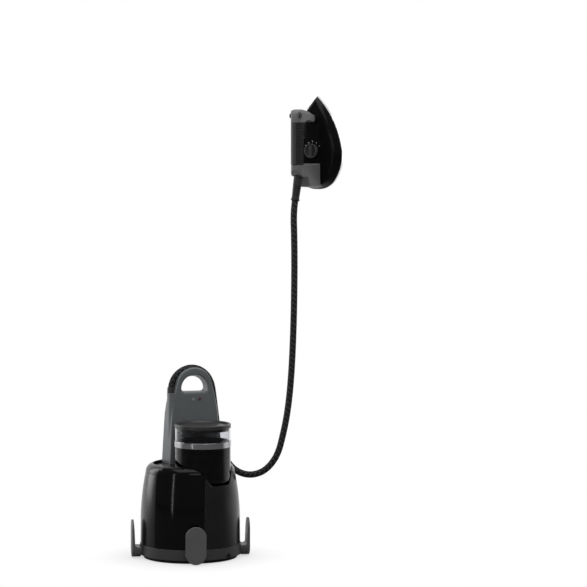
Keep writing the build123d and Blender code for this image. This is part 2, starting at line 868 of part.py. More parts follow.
with BuildPart() as heater_ring:
    with BuildSketch(level(boiler_x, boiler_y, boiler_low)):
        Circle(heater_outer)
        Circle(heater_inner, mode=Mode.SUBTRACT)
    extrude(amount=-heater_height)
heater_ring.part.label = "heater_ring"
export_step(heater_ring.part, "parts/heater_ring.step")

with BuildPart() as boiler_thermostat:
    with Locations(level(boiler_x, boiler_y, boiler_high)):
        with PolarLocations(fitting_circle, 1, start_angle=thermostat_angle):
            Cylinder(thermostat_radius, thermostat_height, align=centre_low)
    fillet(boiler_thermostat.edges().group_by(Axis.Z)[-1], hook_edge)
boiler_thermostat.part.label = "boiler_thermostat"
export_step(boiler_thermostat.part, "parts/boiler_thermostat.step")

with BuildPart() as safety_valve:
    with Locations(level(boiler_x, boiler_y, boiler_high)):
        with PolarLocations(fitting_circle, 1, start_angle=safety_angle):
            Cylinder(safety_radius, safety_height / 2, align=centre_low)
            Cylinder(safety_stem_radius, safety_height, align=centre_low)
safety_valve.part.label = "safety_valve"
export_step(safety_valve.part, "parts/safety_valve.step")

with BuildPart() as steam_valve:
    with Locations(level(boiler_x, boiler_y, boiler_high)):
        Box(*valve_block, align=centre_low)
        Cylinder(valve_coil_radius, valve_block[2] + valve_coil_height, align=centre_low)
steam_valve.part.label = "steam_valve"
export_step(steam_valve.part, "parts/steam_valve.step")

port_y = boiler_y + valve_block[1] / 2
port_z = boiler_high + valve_port_height
steam_end = tower_place(held_points[0][0], hose_depth, hose_tail_height)
steam_route = [
    (boiler_x, port_y, port_z),
    (boiler_x, port_y + steam_run_back, port_z),
    (boiler_x - steam_sidestep, port_y + steam_run_back, port_z + steam_rise),
    (steam_hatch.X, steam_hatch.Y, deck_low - steam_hatch_drop),
    (steam_end.X, steam_end.Y, deck_top + steam_tower_rise),
    tuple(steam_end),
]
steam_tube = tube(steam_route, [steam_tube_bend] * 4, steam_tube_radius)
steam_tube.part.label = "steam_tube"
export_step(steam_tube.part, "parts/steam_tube.step")

# Pump on rubber mounts, fed from the tank's dock
pump_to_dock = Vector(tank_x - pump_x, tank_y - pump_y, 0).normalized()
pump_inlet = Vector(pump_x, pump_y, pump_inlet_height) + pump_to_dock * (pump_radius + barb_length)
with BuildPart() as pump:
    with Locations(level(pump_x, pump_y, pump_low)):
        Cylinder(pump_radius, pump_high - pump_low, align=centre_low)
        Cylinder(barb_radius, pump_high - pump_low + barb_length, align=centre_low)
    with Locations(Plane(origin=(pump_x, pump_y, pump_inlet_height), z_dir=pump_to_dock)):
        Cylinder(barb_radius, pump_radius + barb_length, align=centre_low)
pump.part.label = "pump"
export_step(pump.part, "parts/pump.step")

with BuildPart() as pump_mounts:
    with Locations(level(pump_x, pump_y, tray_top)):
        with GridLocations(pump_mount_spread, pump_mount_spread, 2, 2):
            Cylinder(pump_mount_radius, pump_low - tray_top, align=centre_low)
pump_mounts.part.label = "pump_mounts"
export_step(pump_mounts.part, "parts/pump_mounts.step")

dock_low = well_low - dock_flange
with BuildPart() as dock_coupling:
    with Locations(level(tank_x, tank_y, dock_low)):
        Cylinder(dock_flange_radius, dock_flange, align=centre_low)
        Cylinder(dock_radius, dock_flange + well_floor - dock_top_drop, align=centre_low)
        Cylinder(barb_radius, dock_barb_length, align=centre_high)
    with Locations(level(tank_x, tank_y, well_low)):
        Cylinder(dock_bore, well_floor, align=centre_low, mode=Mode.SUBTRACT)
        Cylinder(dock_pin_radius, well_drop, align=centre_low)
dock_coupling.part.label = "dock_coupling"
export_step(dock_coupling.part, "parts/dock_coupling.step")

feed_route = [
    (tank_x, tank_y, dock_low - dock_barb_length),
    (tank_x, tank_y, pump_inlet_height),
    tuple(pump_inlet),
]
feed_tube = tube(feed_route, [water_tube_bend], water_tube_radius)
feed_tube.part.label = "feed_tube"
export_step(feed_tube.part, "parts/feed_tube.step")

inlet_x = boiler_x + fitting_circle * cos(radians(inlet_angle))
inlet_y = boiler_y + fitting_circle * sin(radians(inlet_angle))
pressure_route = [
    (pump_x, pump_y, pump_high + barb_length),
    (pump_x, pump_y, pressure_tube_height),
    (inlet_x, inlet_y, pressure_tube_height),
    (inlet_x, inlet_y, boiler_high + barb_length),
]
pressure_tube = tube(pressure_route, [water_tube_bend] * 2, water_tube_radius)
pressure_tube.part.label = "pressure_tube"
export_step(pressure_tube.part, "parts/pressure_tube.step")

# Screw plug that empties the boiler through the tray
with BuildPart() as drain_plug:
    with BuildSketch(boiler_plane):
        head_top = ring_low - travel_gap
        with BuildLine():
            Polyline(
                (0, head_top - plug_head_height),
                (plug_head_radius, head_top - plug_head_height),
                (plug_head_radius, head_top),
                (drain_radius + drain_neck_wall, head_top),
                (drain_radius + drain_neck_wall, neck_low - travel_gap),
                (drain_radius, neck_low - travel_gap),
                (drain_radius, boiler_low),
                (0, boiler_low),
                close=True,
            )
        make_face()
    revolve(axis=boiler_axis)
    with Locations(level(boiler_x, boiler_y, head_top - plug_head_height)):
        Box(2 * plug_head_radius, plug_slot, plug_head_height, mode=Mode.SUBTRACT)
drain_plug.part.label = "drain_plug"
export_step(drain_plug.part, "parts/drain_plug.step")

# Rocker switch
rocker_centre = switch_face.offset(-rocker_axis_depth)
rocker_side = Plane(origin=rocker_centre.origin, x_dir=rocker_centre.z_dir, z_dir=-rocker_centre.x_dir)
with BuildPart() as switch_frame:
    with BuildSketch(switch_face):
        Rectangle(switch_width, switch_tall)
    extrude(amount=-switch_depth)
    with BuildSketch(switch_face):
        Rectangle(rocker_width + 2 * travel_gap, 2 * rocker_radius + 2 * travel_gap)
    extrude(amount=-switch_depth + shell_wall, mode=Mode.SUBTRACT)
    pin_hole_length = rocker_width + 2 * (rocker_pin_length + travel_gap)
    with Locations(rocker_side):
        Cylinder(rocker_pin_radius + running_gap, pin_hole_length, mode=Mode.SUBTRACT)
switch_frame.part.label = "switch_frame"
export_step(switch_frame.part, "parts/switch_frame.step")

with BuildPart() as power_switch:
    with BuildSketch(rocker_side):
        Circle(rocker_core_radius)
        with BuildLine():
            Polyline(*rocker_line, close=True)
        make_face()
    extrude(amount=rocker_width / 2, both=True)
    with Locations(rocker_side):
        Cylinder(rocker_pin_radius, rocker_width + 2 * rocker_pin_length)
power_switch.part.label = "power_switch"
export_step(power_switch.part, "parts/power_switch.step")

# Water tank: clear vessel with a light band, a filter basket inside and a sprung valve below
tank_inner = tank_radius - tank_wall
tank_floor = tank_low + tank_wall
basket_radius = tank_inner - ledge_width - basket_gap
ledge_top = (band_low + band_high) / 2
with BuildPart() as tank_vessel:
    with BuildSketch(tank_plane):
        with BuildLine():
            Line((poppet_hole, tank_low), (tank_radius - tank_corner, tank_low))
            RadiusArc(
                (tank_radius - tank_corner, tank_low), (tank_radius, tank_low + tank_corner), -tank_corner
            )
            Polyline(
                (tank_radius, tank_low + tank_corner),
                (tank_radius, tank_high),
                (tank_inner, tank_high),
                (tank_inner, ledge_top),
                (tank_inner - ledge_width, ledge_top),
                (tank_inner, ledge_top - 2 * ledge_width),
                (tank_inner, tank_low + tank_corner),
            )
            RadiusArc(
                (tank_inner, tank_low + tank_corner),
                (tank_radius - tank_corner, tank_floor),
                tank_corner - tank_wall,
            )
            Line((tank_radius - tank_corner, tank_floor), (poppet_hole, tank_floor))
            Line((poppet_hole, tank_floor), (poppet_hole, tank_low))
        make_face()
    revolve(axis=tank_axis)
tank_vessel.part.label = "tank_vessel"
export_step(tank_vessel.part, "parts/tank_vessel.step")

with BuildPart() as tank_band:
    with BuildSketch(level(tank_x, tank_y, band_low)):
        Circle(tank_radius + band_thickness)
        Circle(tank_radius, mode=Mode.SUBTRACT)
    extrude(amount=band_high - band_low)
    fillet(tank_band.faces().sort_by(SortBy.AREA)[-1].edges(), band_edge)
tank_band.part.label = "tank_band"
export_step(tank_band.part, "parts/tank_band.step")

with BuildPart() as filter_basket:
    with BuildSketch(tank_plane):
        with BuildLine():
            Polyline(
                (0, basket_low),
                (basket_radius, basket_low),
                (basket_radius, ledge_top),
                (tank_inner - basket_gap, ledge_top),
                (tank_inner - basket_gap, ledge_top + basket_flange),
                (basket_radius, ledge_top + basket_flange),
                (basket_radius, basket_high),
                (basket_radius - basket_wall, basket_high),
                (basket_radius - basket_wall, basket_low + basket_wall),
                (0, basket_low + basket_wall),
                close=True,
            )
        make_face()
    revolve(axis=tank_axis)
filter_basket.part.label = "filter_basket"
export_step(filter_basket.part, "parts/filter_basket.step")

with BuildPart() as valve_cage:
    with Locations(level(tank_x, tank_y, tank_floor)):
        Cylinder(cage_radius, cage_height, align=centre_low)
        Cylinder(cage_radius - cage_wall, cage_height - cage_wall, align=centre_low, mode=Mode.SUBTRACT)
    for way in ((1, 0, 0), (0, 1, 0)):
        with BuildSketch(Plane(origin=(tank_x, tank_y, tank_floor + cage_height / 2), z_dir=way)):
            Circle(cage_hole)
        extrude(amount=2 * cage_radius, both=True, mode=Mode.SUBTRACT)
valve_cage.part.label = "valve_cage"
export_step(valve_cage.part, "parts/valve_cage.step")

poppet_low = well_low + well_drop + travel_gap
with BuildPart() as valve_poppet:
    with Locations(level(tank_x, tank_y, poppet_low)):
        Cylinder(poppet_stem, tank_floor - poppet_low + poppet_thickness, align=centre_low)
    with Locations(level(tank_x, tank_y, tank_floor)):
        Cylinder(poppet_radius, poppet_thickness, align=centre_low)
valve_poppet.part.label = "valve_poppet"
export_step(valve_poppet.part, "parts/valve_poppet.step")

with BuildPart() as valve_spring:
    with BuildSketch(level(tank_x, tank_y, tank_floor + poppet_thickness)):
        Circle(valve_spring_radius)
        Circle(valve_spring_radius - valve_spring_wire, mode=Mode.SUBTRACT)
    extrude(amount=cage_height - cage_wall - poppet_thickness)
valve_spring.part.label = "valve_spring"
export_step(valve_spring.part, "parts/valve_spring.step")

skirt_outer = tank_inner - lid_skirt_gap
seal_low = tank_high - lid_skirt_depth + seal_height
with BuildPart() as tank_lid:
    with BuildSketch(tank_plane):
        with BuildLine():
            Polyline(
                (0, tank_high),
                (skirt_outer - lid_skirt_wall, tank_high),
                (skirt_outer - lid_skirt_wall, tank_high - lid_skirt_depth),
                (skirt_outer, tank_high - lid_skirt_depth),
                (skirt_outer, seal_low),
                (skirt_outer - seal_depth, seal_low),
                (skirt_outer - seal_depth, seal_low + seal_height),
                (skirt_outer, seal_low + seal_height),
                (skirt_outer, tank_high),
                (lid_radius, tank_high),
                (lid_radius, tank_high + lid_height),
                (lid_radius - lid_rim, tank_high + lid_height),
                (lid_radius - 2 * lid_rim, tank_high + lid_plate),
                (0, tank_high + lid_plate),
                close=True,
            )
        make_face()
    revolve(axis=tank_axis)
    fillet(tank_lid.edges().group_by(Axis.Z)[-1], lid_edge)
tank_lid.part.label = "tank_lid"
export_step(tank_lid.part, "parts/tank_lid.step")

with BuildPart() as lid_seal:
    with BuildSketch(level(tank_x, tank_y, seal_low)):
        Circle(skirt_outer + seal_proud)
        Circle(skirt_outer - seal_depth, mode=Mode.SUBTRACT)
    extrude(amount=seal_height)
lid_seal.part.label = "lid_seal"
export_step(lid_seal.part, "parts/lid_seal.step")

# Steam iron
iron_turn = radians(iron_yaw)
iron_plane = Plane(origin=iron_origin, x_dir=(0, 0, 1), z_dir=(-sin(iron_turn), -cos(iron_turn), 0))
iron_side = Plane(origin=iron_origin, x_dir=(0, 0, 1), z_dir=-iron_plane.y_dir)
iron_cross = Plane(origin=iron_origin, x_dir=iron_plane.y_dir, z_dir=(0, 0, 1))
deck_plane = iron_plane.offset(sole_thickness)


def iron_place(along, across, up):
    """A point of the iron: from heel to toe, sideways, and from the sole towards the handle."""
    return iron_plane.from_local_coords((along, across, up))


def sole_outline():
    """Half of the sole's outline from toe to heel, mirrored."""
    with BuildLine() as outline:
        ThreePointArc((sole_length, 0), sole_shoulder, (sole_widest, sole_width / 2))
        ThreePointArc((sole_widest, sole_width / 2), sole_hip, heel_corner)
        ThreePointArc(heel_corner, heel_curve, (0, 0))
        mirror(about=Plane.XZ)
    return outline.edges()


with BuildPart() as soleplate:
    with BuildSketch(iron_plane):
        make_face(sole_outline())
    extrude(amount=sole_thickness)
    fillet(soleplate.faces().sort_by(Axis((0, 0, 0), iron_plane.z_dir))[0].edges(), sole_edge)
    with BuildSketch(iron_plane):
        for along, across in steam_hole_lines:
            with Locations((along, across), (along, -across)):
                Circle(steam_hole_radius)
    extrude(amount=sole_thickness, mode=Mode.SUBTRACT)
soleplate.part.label = "soleplate"
export_step(soleplate.part, "parts/soleplate.step")


def inside_sole(inset, front):
    """The sole's outline drawn in by an inset and ended short of the toe."""
    with BuildSketch() as inner:
        make_face(sole_outline())
        offset(amount=-inset, mode=Mode.REPLACE)
        Rectangle(front, sole_width, align=(Align.MIN, Align.CENTER), mode=Mode.INTERSECT)
    return inner.sketch


with BuildPart() as heater_block:
    with BuildSketch(deck_plane):
        add(inside_sole(block_inset, block_front))
    extrude(amount=block_height)
heater_block.part.label = "heater_block"
export_step(heater_block.part, "parts/heater_block.step")

regulator_plane = Plane(iron_place(dial_place, 0, sole_thickness + block_height), z_dir=iron_plane.z_dir)
dial_plane = Plane(iron_place(dial_place, 0, dial_lift), x_dir=iron_plane.x_dir, z_dir=iron_plane.z_dir)
with BuildPart() as thermostat:
    with Locations(regulator_plane):
        Cylinder(regulator_radius, regulator_height, align=centre_low)
    with Locations(dial_plane):
        Cylinder(
            spindle_radius + running_gap,
            spindle_drop + travel_gap,
            align=centre_high,
            mode=Mode.SUBTRACT,
        )
thermostat.part.label = "thermostat"
export_step(thermostat.part, "parts/thermostat.step")

with BuildPart() as skirt:
    with BuildSketch(deck_plane):
        make_face(sole_outline())
        offset(amount=-skirt_inset, mode=Mode.REPLACE)
    with BuildSketch(deck_plane.offset(skirt_height)):
        make_face(sole_outline())
        offset(amount=-skirt_inset - skirt_height * tan(radians(skirt_lean)), mode=Mode.REPLACE)
    loft(ruled=True)
    with BuildSketch(iron_side):
        with BuildLine():
            Spline(*deck_line)
            Polyline(deck_line[-1], (deck_line[-1][0], 0), (deck_line[0][0], 0), deck_line[0])
        make_face()
    extrude(amount=sole_width, both=True, mode=Mode.INTERSECT)
    with BuildSketch(deck_plane):
        with Locations((post_place, 0)):
            RectangleRounded(*post_size, post_corner)
    extrude(amount=post_top - sole_thickness)
    with BuildSketch(deck_plane):
        add(inside_sole(cavity_inset, cavity_front))
    extrude(amount=cavity_height, mode=Mode.SUBTRACT)
    with Locations(regulator_plane):
        Cylinder(
            regulator_radius + seam_gap,
            regulator_height + seam_gap,
            align=centre_low,
            mode=Mode.SUBTRACT,
        )
        Cylinder(spindle_radius + running_gap, dial_lift, align=centre_low, mode=Mode.SUBTRACT)
skirt.part.label = "skirt"
export_step(skirt.part, "parts/skirt.step")

with BuildPart() as temperature_dial:
    with Locations(dial_plane):
        Cylinder(dial_radius, dial_height, align=centre_low)
    fillet(temperature_dial.faces().sort_by(Axis((0, 0, 0), iron_plane.z_dir))[-1].edges(), dial_edge)
    with BuildSketch(dial_plane.offset(dial_height / 2)):
        Circle(dial_recess_radius)
        Rectangle(2 * dial_radius, dial_grip_width, mode=Mode.SUBTRACT)
    extrude(amount=dial_height, mode=Mode.SUBTRACT)
    with Locations(dial_plane):
        Cylinder(spindle_radius, spindle_drop, align=centre_high)
temperature_dial.part.label = "temperature_dial"
export_step(temperature_dial.part, "parts/temperature_dial.step")

# Handle: a core between heel and arch, a ribbed grip round it and a smooth spine on top
handle_axis = Axis(tuple(iron_place(0, 0, handle_height)), (0, 0, 1))
grip_length = grip_end - grip_start
grip_low = handle_height - grip_radius
with BuildPart() as handle_core:
    with BuildSketch(iron_cross.offset(grip_start)):
        with Locations((0, handle_height)):
            Circle(core_radius)
    extrude(amount=grip_length)
handle_core.part.label = "handle_core"
export_step(handle_core.part, "parts/handle_core.step")

rib_count = round(grip_length / grip_rib)
rib_pitch = grip_length / rib_count
rib_points = [(grip_end, handle_height + core_radius), (grip_start, handle_height + core_radius)]
rib_crest = handle_height + grip_radius
for rib in range(rib_count):
    left = grip_start + rib * rib_pitch
    rib_points.append((left, rib_crest - grip_rib_depth))
    rib_points.append((left + rib_pitch * rib_rise, rib_crest))
    rib_points.append((left + rib_pitch * rib_fall, rib_crest))
rib_points.append((grip_end, rib_crest - grip_rib_depth))
with BuildPart() as grip_sleeve:
    with BuildSketch(iron_side):
        with BuildLine():
            Polyline(*rib_points, close=True)
        make_face()
    revolve(axis=handle_axis)
    with BuildSketch(iron_cross.offset(grip_start)):
        with Locations((0, handle_height)):
            Rectangle(2 * spine_half, 2 * grip_radius, align=(Align.CENTER, Align.MIN))
    extrude(amount=grip_length, mode=Mode.SUBTRACT)
grip_sleeve.part.label = "grip_sleeve"
export_step(grip_sleeve.part, "parts/grip_sleeve.step")

with BuildPart() as handle_spine:
    with BuildSketch(iron_cross.offset(grip_start)):
        with Locations((0, handle_height)):
            Circle(spine_radius)
            Rectangle(
                2 * spine_half,
                2 * spine_radius,
                align=(Align.CENTER, Align.MIN),
                mode=Mode.INTERSECT,
            )
            Circle(core_radius, mode=Mode.SUBTRACT)
    extrude(amount=grip_length)
handle_spine.part.label = "handle_spine"
export_step(handle_spine.part, "parts/handle_spine.step")

# Boot that the hose leaves the iron through
boot_lean = radians(boot_tilt)
boot_way = iron_plane.x_dir * -cos(boot_lean) + iron_plane.z_dir * sin(boot_lean)
boot_plane = Plane(iron_place(boot_place, 0, boot_height), z_dir=boot_way)
with BuildPart() as hose_boot:
    with Locations(boot_plane):
        Cone(boot_root_radius, boot_tip_radius, boot_length, align=centre_low)
    for groove in range(boot_grooves):
        with BuildSketch(boot_plane.offset(boot_groove_start + boot_groove_pitch * groove)):
            Circle(boot_root_radius + 1)
            Circle(boot_tip_radius - boot_groove_depth, mode=Mode.SUBTRACT)
        extrude(amount=boot_groove_width, mode=Mode.SUBTRACT)
    with Locations(boot_plane.offset(boot_length)):
        Cylinder(boot_flange_radius, boot_flange, align=centre_high)
hose_boot.part.label = "hose_boot"
export_step(hose_boot.part, "parts/hose_boot.step")

with BuildPart() as heel_cover:
    with BuildSketch(iron_side):
        with BuildLine():
            Spline(heel_foot[0], *heel_back)
            Polyline(heel_back[-1], *heel_seat)
            Spline(heel_seat[-1], *heel_rise)
            Polyline(heel_rise[-1], (grip_start, heel_top), (grip_start, grip_low), *reversed(heel_foot))
        make_face()
    extrude(amount=sole_width, both=True)
    with BuildSketch(iron_cross):
        with BuildLine():
            Spline(*heel_section)
            ThreePointArc(heel_section[-1], heel_crown, (0, heel_apex))
            Line((0, heel_section[0][1]), heel_section[0])
            mirror(about=Plane.YZ)
        make_face()
    extrude(amount=sole_length, mode=Mode.INTERSECT)
    with BuildSketch(deck_plane):
        make_face(sole_outline())
        offset(amount=-heel_inset, mode=Mode.REPLACE)
    extrude(amount=heel_top, taper=heel_lean, mode=Mode.INTERSECT)
    add(skirt.part, mode=Mode.SUBTRACT)
    add(hose_boot.part, mode=Mode.SUBTRACT)
heel_cover.part.label = "heel_cover"
export_step(heel_cover.part, "parts/heel_cover.step")

# Steam trigger on its pin in the front arch
pivot_point = iron_place(pivot_place, 0, pivot_height)
pivot_plane = Plane(pivot_point, x_dir=iron_side.x_dir, z_dir=iron_side.z_dir)
with BuildPart() as trigger_pin:
    with Locations(pivot_plane):
        Cylinder(pin_radius, 2 * pin_half_length)
    for side in (-1, 1):
        with Locations(pivot_plane.offset(side * (pin_half_length - pin_head_height / 2))):
            Cylinder(pin_head_radius, pin_head_height)
trigger_pin.part.label = "trigger_pin"
export_step(trigger_pin.part, "parts/trigger_pin.step")

with BuildPart() as front_arch:
    with BuildSketch(iron_side):
        with BuildLine():
            Line((grip_end, grip_low), (grip_end, arch_top))
            Spline((grip_end, arch_top), *arch_front, arch_end[0])
            ThreePointArc(*arch_end)
            Spline(arch_end[-1], *arch_back, (grip_end, grip_low))
        make_face()
    extrude(amount=sole_width, both=True)
    with BuildSketch(iron_cross):
        with BuildLine():
            Spline(*arch_section)
            ThreePointArc(arch_section[-1], arch_crown, (0, arch_apex))
            Line((0, arch_section[0][1]), arch_section[0])
            mirror(about=Plane.YZ)
        make_face()
    extrude(amount=sole_length, mode=Mode.INTERSECT)
    with BuildSketch(deck_plane):
        with Locations((arch_nose, 0)):
            RectangleRounded(
                2 * (arch_nose - grip_end), 2 * arch_half, arch_corner, align=(Align.MAX, Align.CENTER)
            )
    extrude(amount=arch_apex, mode=Mode.INTERSECT)
    with BuildSketch(iron_side):
        with BuildLine():
            Polyline(
                (slot_back, slot_low),
                (slot_front, slot_low),
                (slot_front, slot_high),
                (slot_back, slot_high),
                close=True,
            )
        make_face()
    extrude(amount=trigger_width / 2 + travel_gap, both=True, mode=Mode.SUBTRACT)
    add(skirt.part, mode=Mode.SUBTRACT)
    add(trigger_pin.part, mode=Mode.SUBTRACT)
front_arch.part.label = "front_arch"
export_step(front_arch.part, "parts/front_arch.step")

with BuildPart() as steam_trigger:
    with BuildSketch(iron_side):
        with BuildLine():
            Polyline(*trigger_line, close=True)
        make_face()
        with Locations((pivot_place, pivot_height)):
            Circle(trigger_hub)
            Circle(pin_radius + running_gap, mode=Mode.SUBTRACT)
    extrude(amount=trigger_width / 2, both=True)
steam_trigger.part.label = "steam_trigger"
export_step(steam_trigger.part, "parts/steam_trigger.step")

with BuildPart() as trigger_spring:
    with BuildSketch(iron_cross.offset(grip_end)):
        with Locations((0, trigger_spring_height)):
            Circle(trigger_spring_radius)
            Circle(trigger_spring_radius / 2, mode=Mode.SUBTRACT)
    extrude(amount=trigger_spring_length)
trigger_spring.part.label = "trigger_spring"
export_step(trigger_spring.part, "parts/trigger_spring.step")

# Free stretch of the hose, from the tower's flank down, round and up to the boot
hose_end = boot_plane.origin + boot_way * boot_length
free_route = leaving_route + [
    (101.2, 47.2, 171.8), (127.5, 43.8, 162.4), (154.4, 40.4, 167.4), (175.3, 37.8, 184.3),
    (190.9, 35.9, 210), (200.3, 34.9, 246), (209.3, 34.0, 290), (216.1, 33.6, 345), (220.8, 33.5, 415),
    (224.0, 33.7, 505), (225.3, 34.0, 600), (224.8, 34.3, 670),
    tuple(hose_end + boot_way * hose_end_run),
    tuple(hose_end),
]
steam_hose = tube(free_route, bend_radii(free_route), hose_radius)
steam_hose.part.label = "steam_hose"
export_step(steam_hose.part, "parts/steam_hose.step")
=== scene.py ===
import math

import bmesh
import bpy
from mathutils import Matrix, Vector


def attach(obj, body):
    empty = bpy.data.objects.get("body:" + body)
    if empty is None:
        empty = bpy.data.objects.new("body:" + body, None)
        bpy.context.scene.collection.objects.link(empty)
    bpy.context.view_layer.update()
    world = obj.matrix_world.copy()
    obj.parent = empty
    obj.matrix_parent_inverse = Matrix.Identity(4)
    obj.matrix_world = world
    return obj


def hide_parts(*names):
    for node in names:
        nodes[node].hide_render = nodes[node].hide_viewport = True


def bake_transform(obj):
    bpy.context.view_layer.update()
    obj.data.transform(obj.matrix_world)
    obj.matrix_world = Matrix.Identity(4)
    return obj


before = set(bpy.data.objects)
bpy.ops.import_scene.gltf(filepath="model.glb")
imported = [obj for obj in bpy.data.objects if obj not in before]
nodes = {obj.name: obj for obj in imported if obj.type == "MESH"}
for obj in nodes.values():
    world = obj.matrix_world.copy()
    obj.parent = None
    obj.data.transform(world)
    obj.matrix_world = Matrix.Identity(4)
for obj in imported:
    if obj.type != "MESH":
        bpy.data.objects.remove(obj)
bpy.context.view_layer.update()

print("frame loaded:", len(nodes), "nodes")


# Shader kit

class Wire:
    # a node tree, or one of its sockets, which adds and scales like a number; | takes the larger
    def __init__(self, tree, socket=None):
        self.tree = tree
        self.socket = socket

    def node(self, kind, sockets=None, out=0, **settings):
        made = self.tree.nodes.new(kind)
        for key, value in settings.items():
            setattr(made, key, value)
        feed(self.tree, made, sockets or {})
        return Wire(self.tree, made.outputs[out])

    def __add__(self, other):
        return self.node("ShaderNodeMath", {0: self, 1: other}, operation="ADD")

    def __sub__(self, other):
        return self.node("ShaderNodeMath", {0: self, 1: other}, operation="SUBTRACT")

    def __rsub__(self, other):
        return self.node("ShaderNodeMath", {0: other, 1: self}, operation="SUBTRACT")

    def __mul__(self, other):
        return self.node("ShaderNodeMath", {0: self, 1: other}, operation="MULTIPLY")

    def __or__(self, other):
        return self.node("ShaderNodeMath", {0: self, 1: other}, operation="MAXIMUM")

    __radd__ = __add__
    __rmul__ = __mul__
    __ror__ = __or__


def feed(tree, node, sockets):
    for key, value in sockets.items():
        if isinstance(value, Wire):
            tree.links.new(value.socket, node.inputs[key])
        else:
            node.inputs[key].default_value = value


def newMaterial(name):
    material = bpy.data.materials.new(name)
    material.use_nodes = True
    return material, Wire(material.node_tree)


def setSurface(sheet, **sockets):
    named = {key.replace("_", " "): value for key, value in sockets.items()}
    feed(sheet.tree, sheet.tree.nodes["Principled BSDF"], named)


def noise(sheet, scale, detail=3.0, place=None):
    spot = place or sheet.node("ShaderNodeTexCoord", out="Object")
    return sheet.node("ShaderNodeTexNoise", {"Vector": spot, "Scale": scale, "Detail": detail})


def blend(sheet, factor, first, second):
    return sheet.node("ShaderNodeMix", {0: factor, 6: first, 7: second}, 2, data_type="RGBA")


def rise(sheet, value, low, high):
    # 0 below low, 1 above high, and a smooth step between them
    ends = {"Value": value, "From Min": low, "From Max": high}
    return sheet.node("ShaderNodeMapRange", ends, interpolation_type="SMOOTHSTEP")


def rounded(sheet, radius, samples=6):
    return sheet.node("ShaderNodeBevel", {"Radius": radius}, samples=samples)


def edgeLean(sheet, soft):
    # how far the softened edge leans away from the face
    face = sheet.node("ShaderNodeNewGeometry", out="Normal")
    return 1 - sheet.node("ShaderNodeVectorMath", {0: soft, 1: face}, "Value", operation="DOT_PRODUCT")


def bump(sheet, height, strength, distance, normal=None):
    sockets = {"Height": height, "Strength": strength, "Distance": distance}
    if normal:
        sockets["Normal"] = normal
    return sheet.node("ShaderNodeBump", sockets)


def grey(level, cool=1.03):
    return (level, level, level * cool, 1.0)


def scaled(colour, factor):
    return tuple(min(1.0, level * factor) for level in colour[:3]) + (1.0,)


# Finishes: one takes the settings of its kind where it gives none of its own

plasticKind = {
    "cloud": 26, "spread": 1.25, "wear": 1.2, "roughSpread": 0.1, "specular": 0.5, "grainHeight": 0.0004,
}


def plastic(name, look):
    # moulded plastic: mottled tone, a fine grain, softened edges that are a touch paler
    look = {**plasticKind, **look}
    material, sheet = newMaterial(name)
    soft = rounded(sheet, look["edge"])
    cloud = noise(sheet, look["cloud"])
    grain = noise(sheet, look["grain"], detail=2.0)
    pale = scaled(look["colour"], look["spread"])
    tone = blend(sheet, cloud, look["colour"], pale)
    tone = blend(sheet, edgeLean(sheet, soft) * look["wear"], tone, look.get("edgeColour", pale))
    setSurface(
        sheet,
        Base_Color=tone,
        Roughness=look["rough"] + (cloud - 0.5) * look["roughSpread"],
        Normal=bump(sheet, grain, look["depth"], look["grainHeight"], soft),
        Specular_IOR_Level=look["specular"],
    )
    return material


metalKind = {
    "cloud": 40, "dull": 0.72, "scratchShare": 0.6, "cloudShare": 0.3, "roughSpread": 0.14,
    "grainHeight": 0.0002,
}


def metal(name, look):
    # worked metal: fine scratches drawn along one way, and blotches in its polish
    look = {**metalKind, **look}
    material, sheet = newMaterial(name)
    soft = rounded(sheet, look["edge"])
    place = sheet.node("ShaderNodeTexCoord", out="Object")
    drawn = sheet.node("ShaderNodeMapping", {"Vector": place, "Scale": look["stretch"]})
    scratch = noise(sheet, look["grain"], detail=4.0, place=drawn)
    cloud = noise(sheet, look["cloud"])
    worn = scratch * look["scratchShare"] + cloud * look["cloudShare"]
    setSurface(
        sheet,
        Base_Color=blend(sheet, worn, look["colour"], scaled(look["colour"], look["dull"])),
        Roughness=look["rough"] + scratch * look["roughSpread"],
        Normal=bump(sheet, scratch, look["depth"], look["grainHeight"], soft),
        Metallic=1.0,
    )
    return material


rubberKind = {
    "cloud": 30, "pale": 1.7, "cloudShare": 0.6, "roughSpread": 0.12, "specular": 0.35, "grainHeight": 0.0003,
}


def rubber(name, look):
    # matt rubber with a fine speckle
    look = {**rubberKind, **look}
    material, sheet = newMaterial(name)
    soft = rounded(sheet, look["edge"])
    place = sheet.node("ShaderNodeTexCoord", out="Object")
    speckle = sheet.node("ShaderNodeTexVoronoi", {"Vector": place, "Scale": look["grain"]})
    cloud = noise(sheet, look["cloud"])
    worn = cloud * look["cloudShare"] + edgeLean(sheet, soft)
    setSurface(
        sheet,
        Base_Color=blend(sheet, worn, look["colour"], scaled(look["colour"], look["pale"])),
        Roughness=look["rough"] + speckle * look["roughSpread"],
        Normal=bump(sheet, speckle, look["depth"], look["grainHeight"], soft),
        Specular_IOR_Level=look["specular"],
    )
    return material


def clearPlastic(name, look):
    # clear tank wall, smoked below its band, with faint moulding ripples and a few water marks
    material, sheet = newMaterial(name)
    ripple = noise(sheet, look["ripple"], detail=1.0)
    marks = noise(sheet, look["marks"], detail=5.0)
    place = sheet.node("ShaderNodeTexCoord", out="Object")
    height = sheet.node("ShaderNodeSeparateXYZ", {0: place}, "Z")
    clear = blend(sheet, marks * look["markShare"], look["colour"], look["markColour"])
    setSurface(
        sheet,
        Base_Color=blend(sheet, rise(sheet, height, *look["smokeEnds"]), look["smoke"], clear),
        Roughness=look["rough"] + marks * look["roughSpread"],
        Normal=bump(sheet, ripple, look["depth"], look["rippleHeight"], rounded(sheet, look["edge"])),
        Transmission_Weight=1.0,
        IOR=look["ior"],
    )
    return material


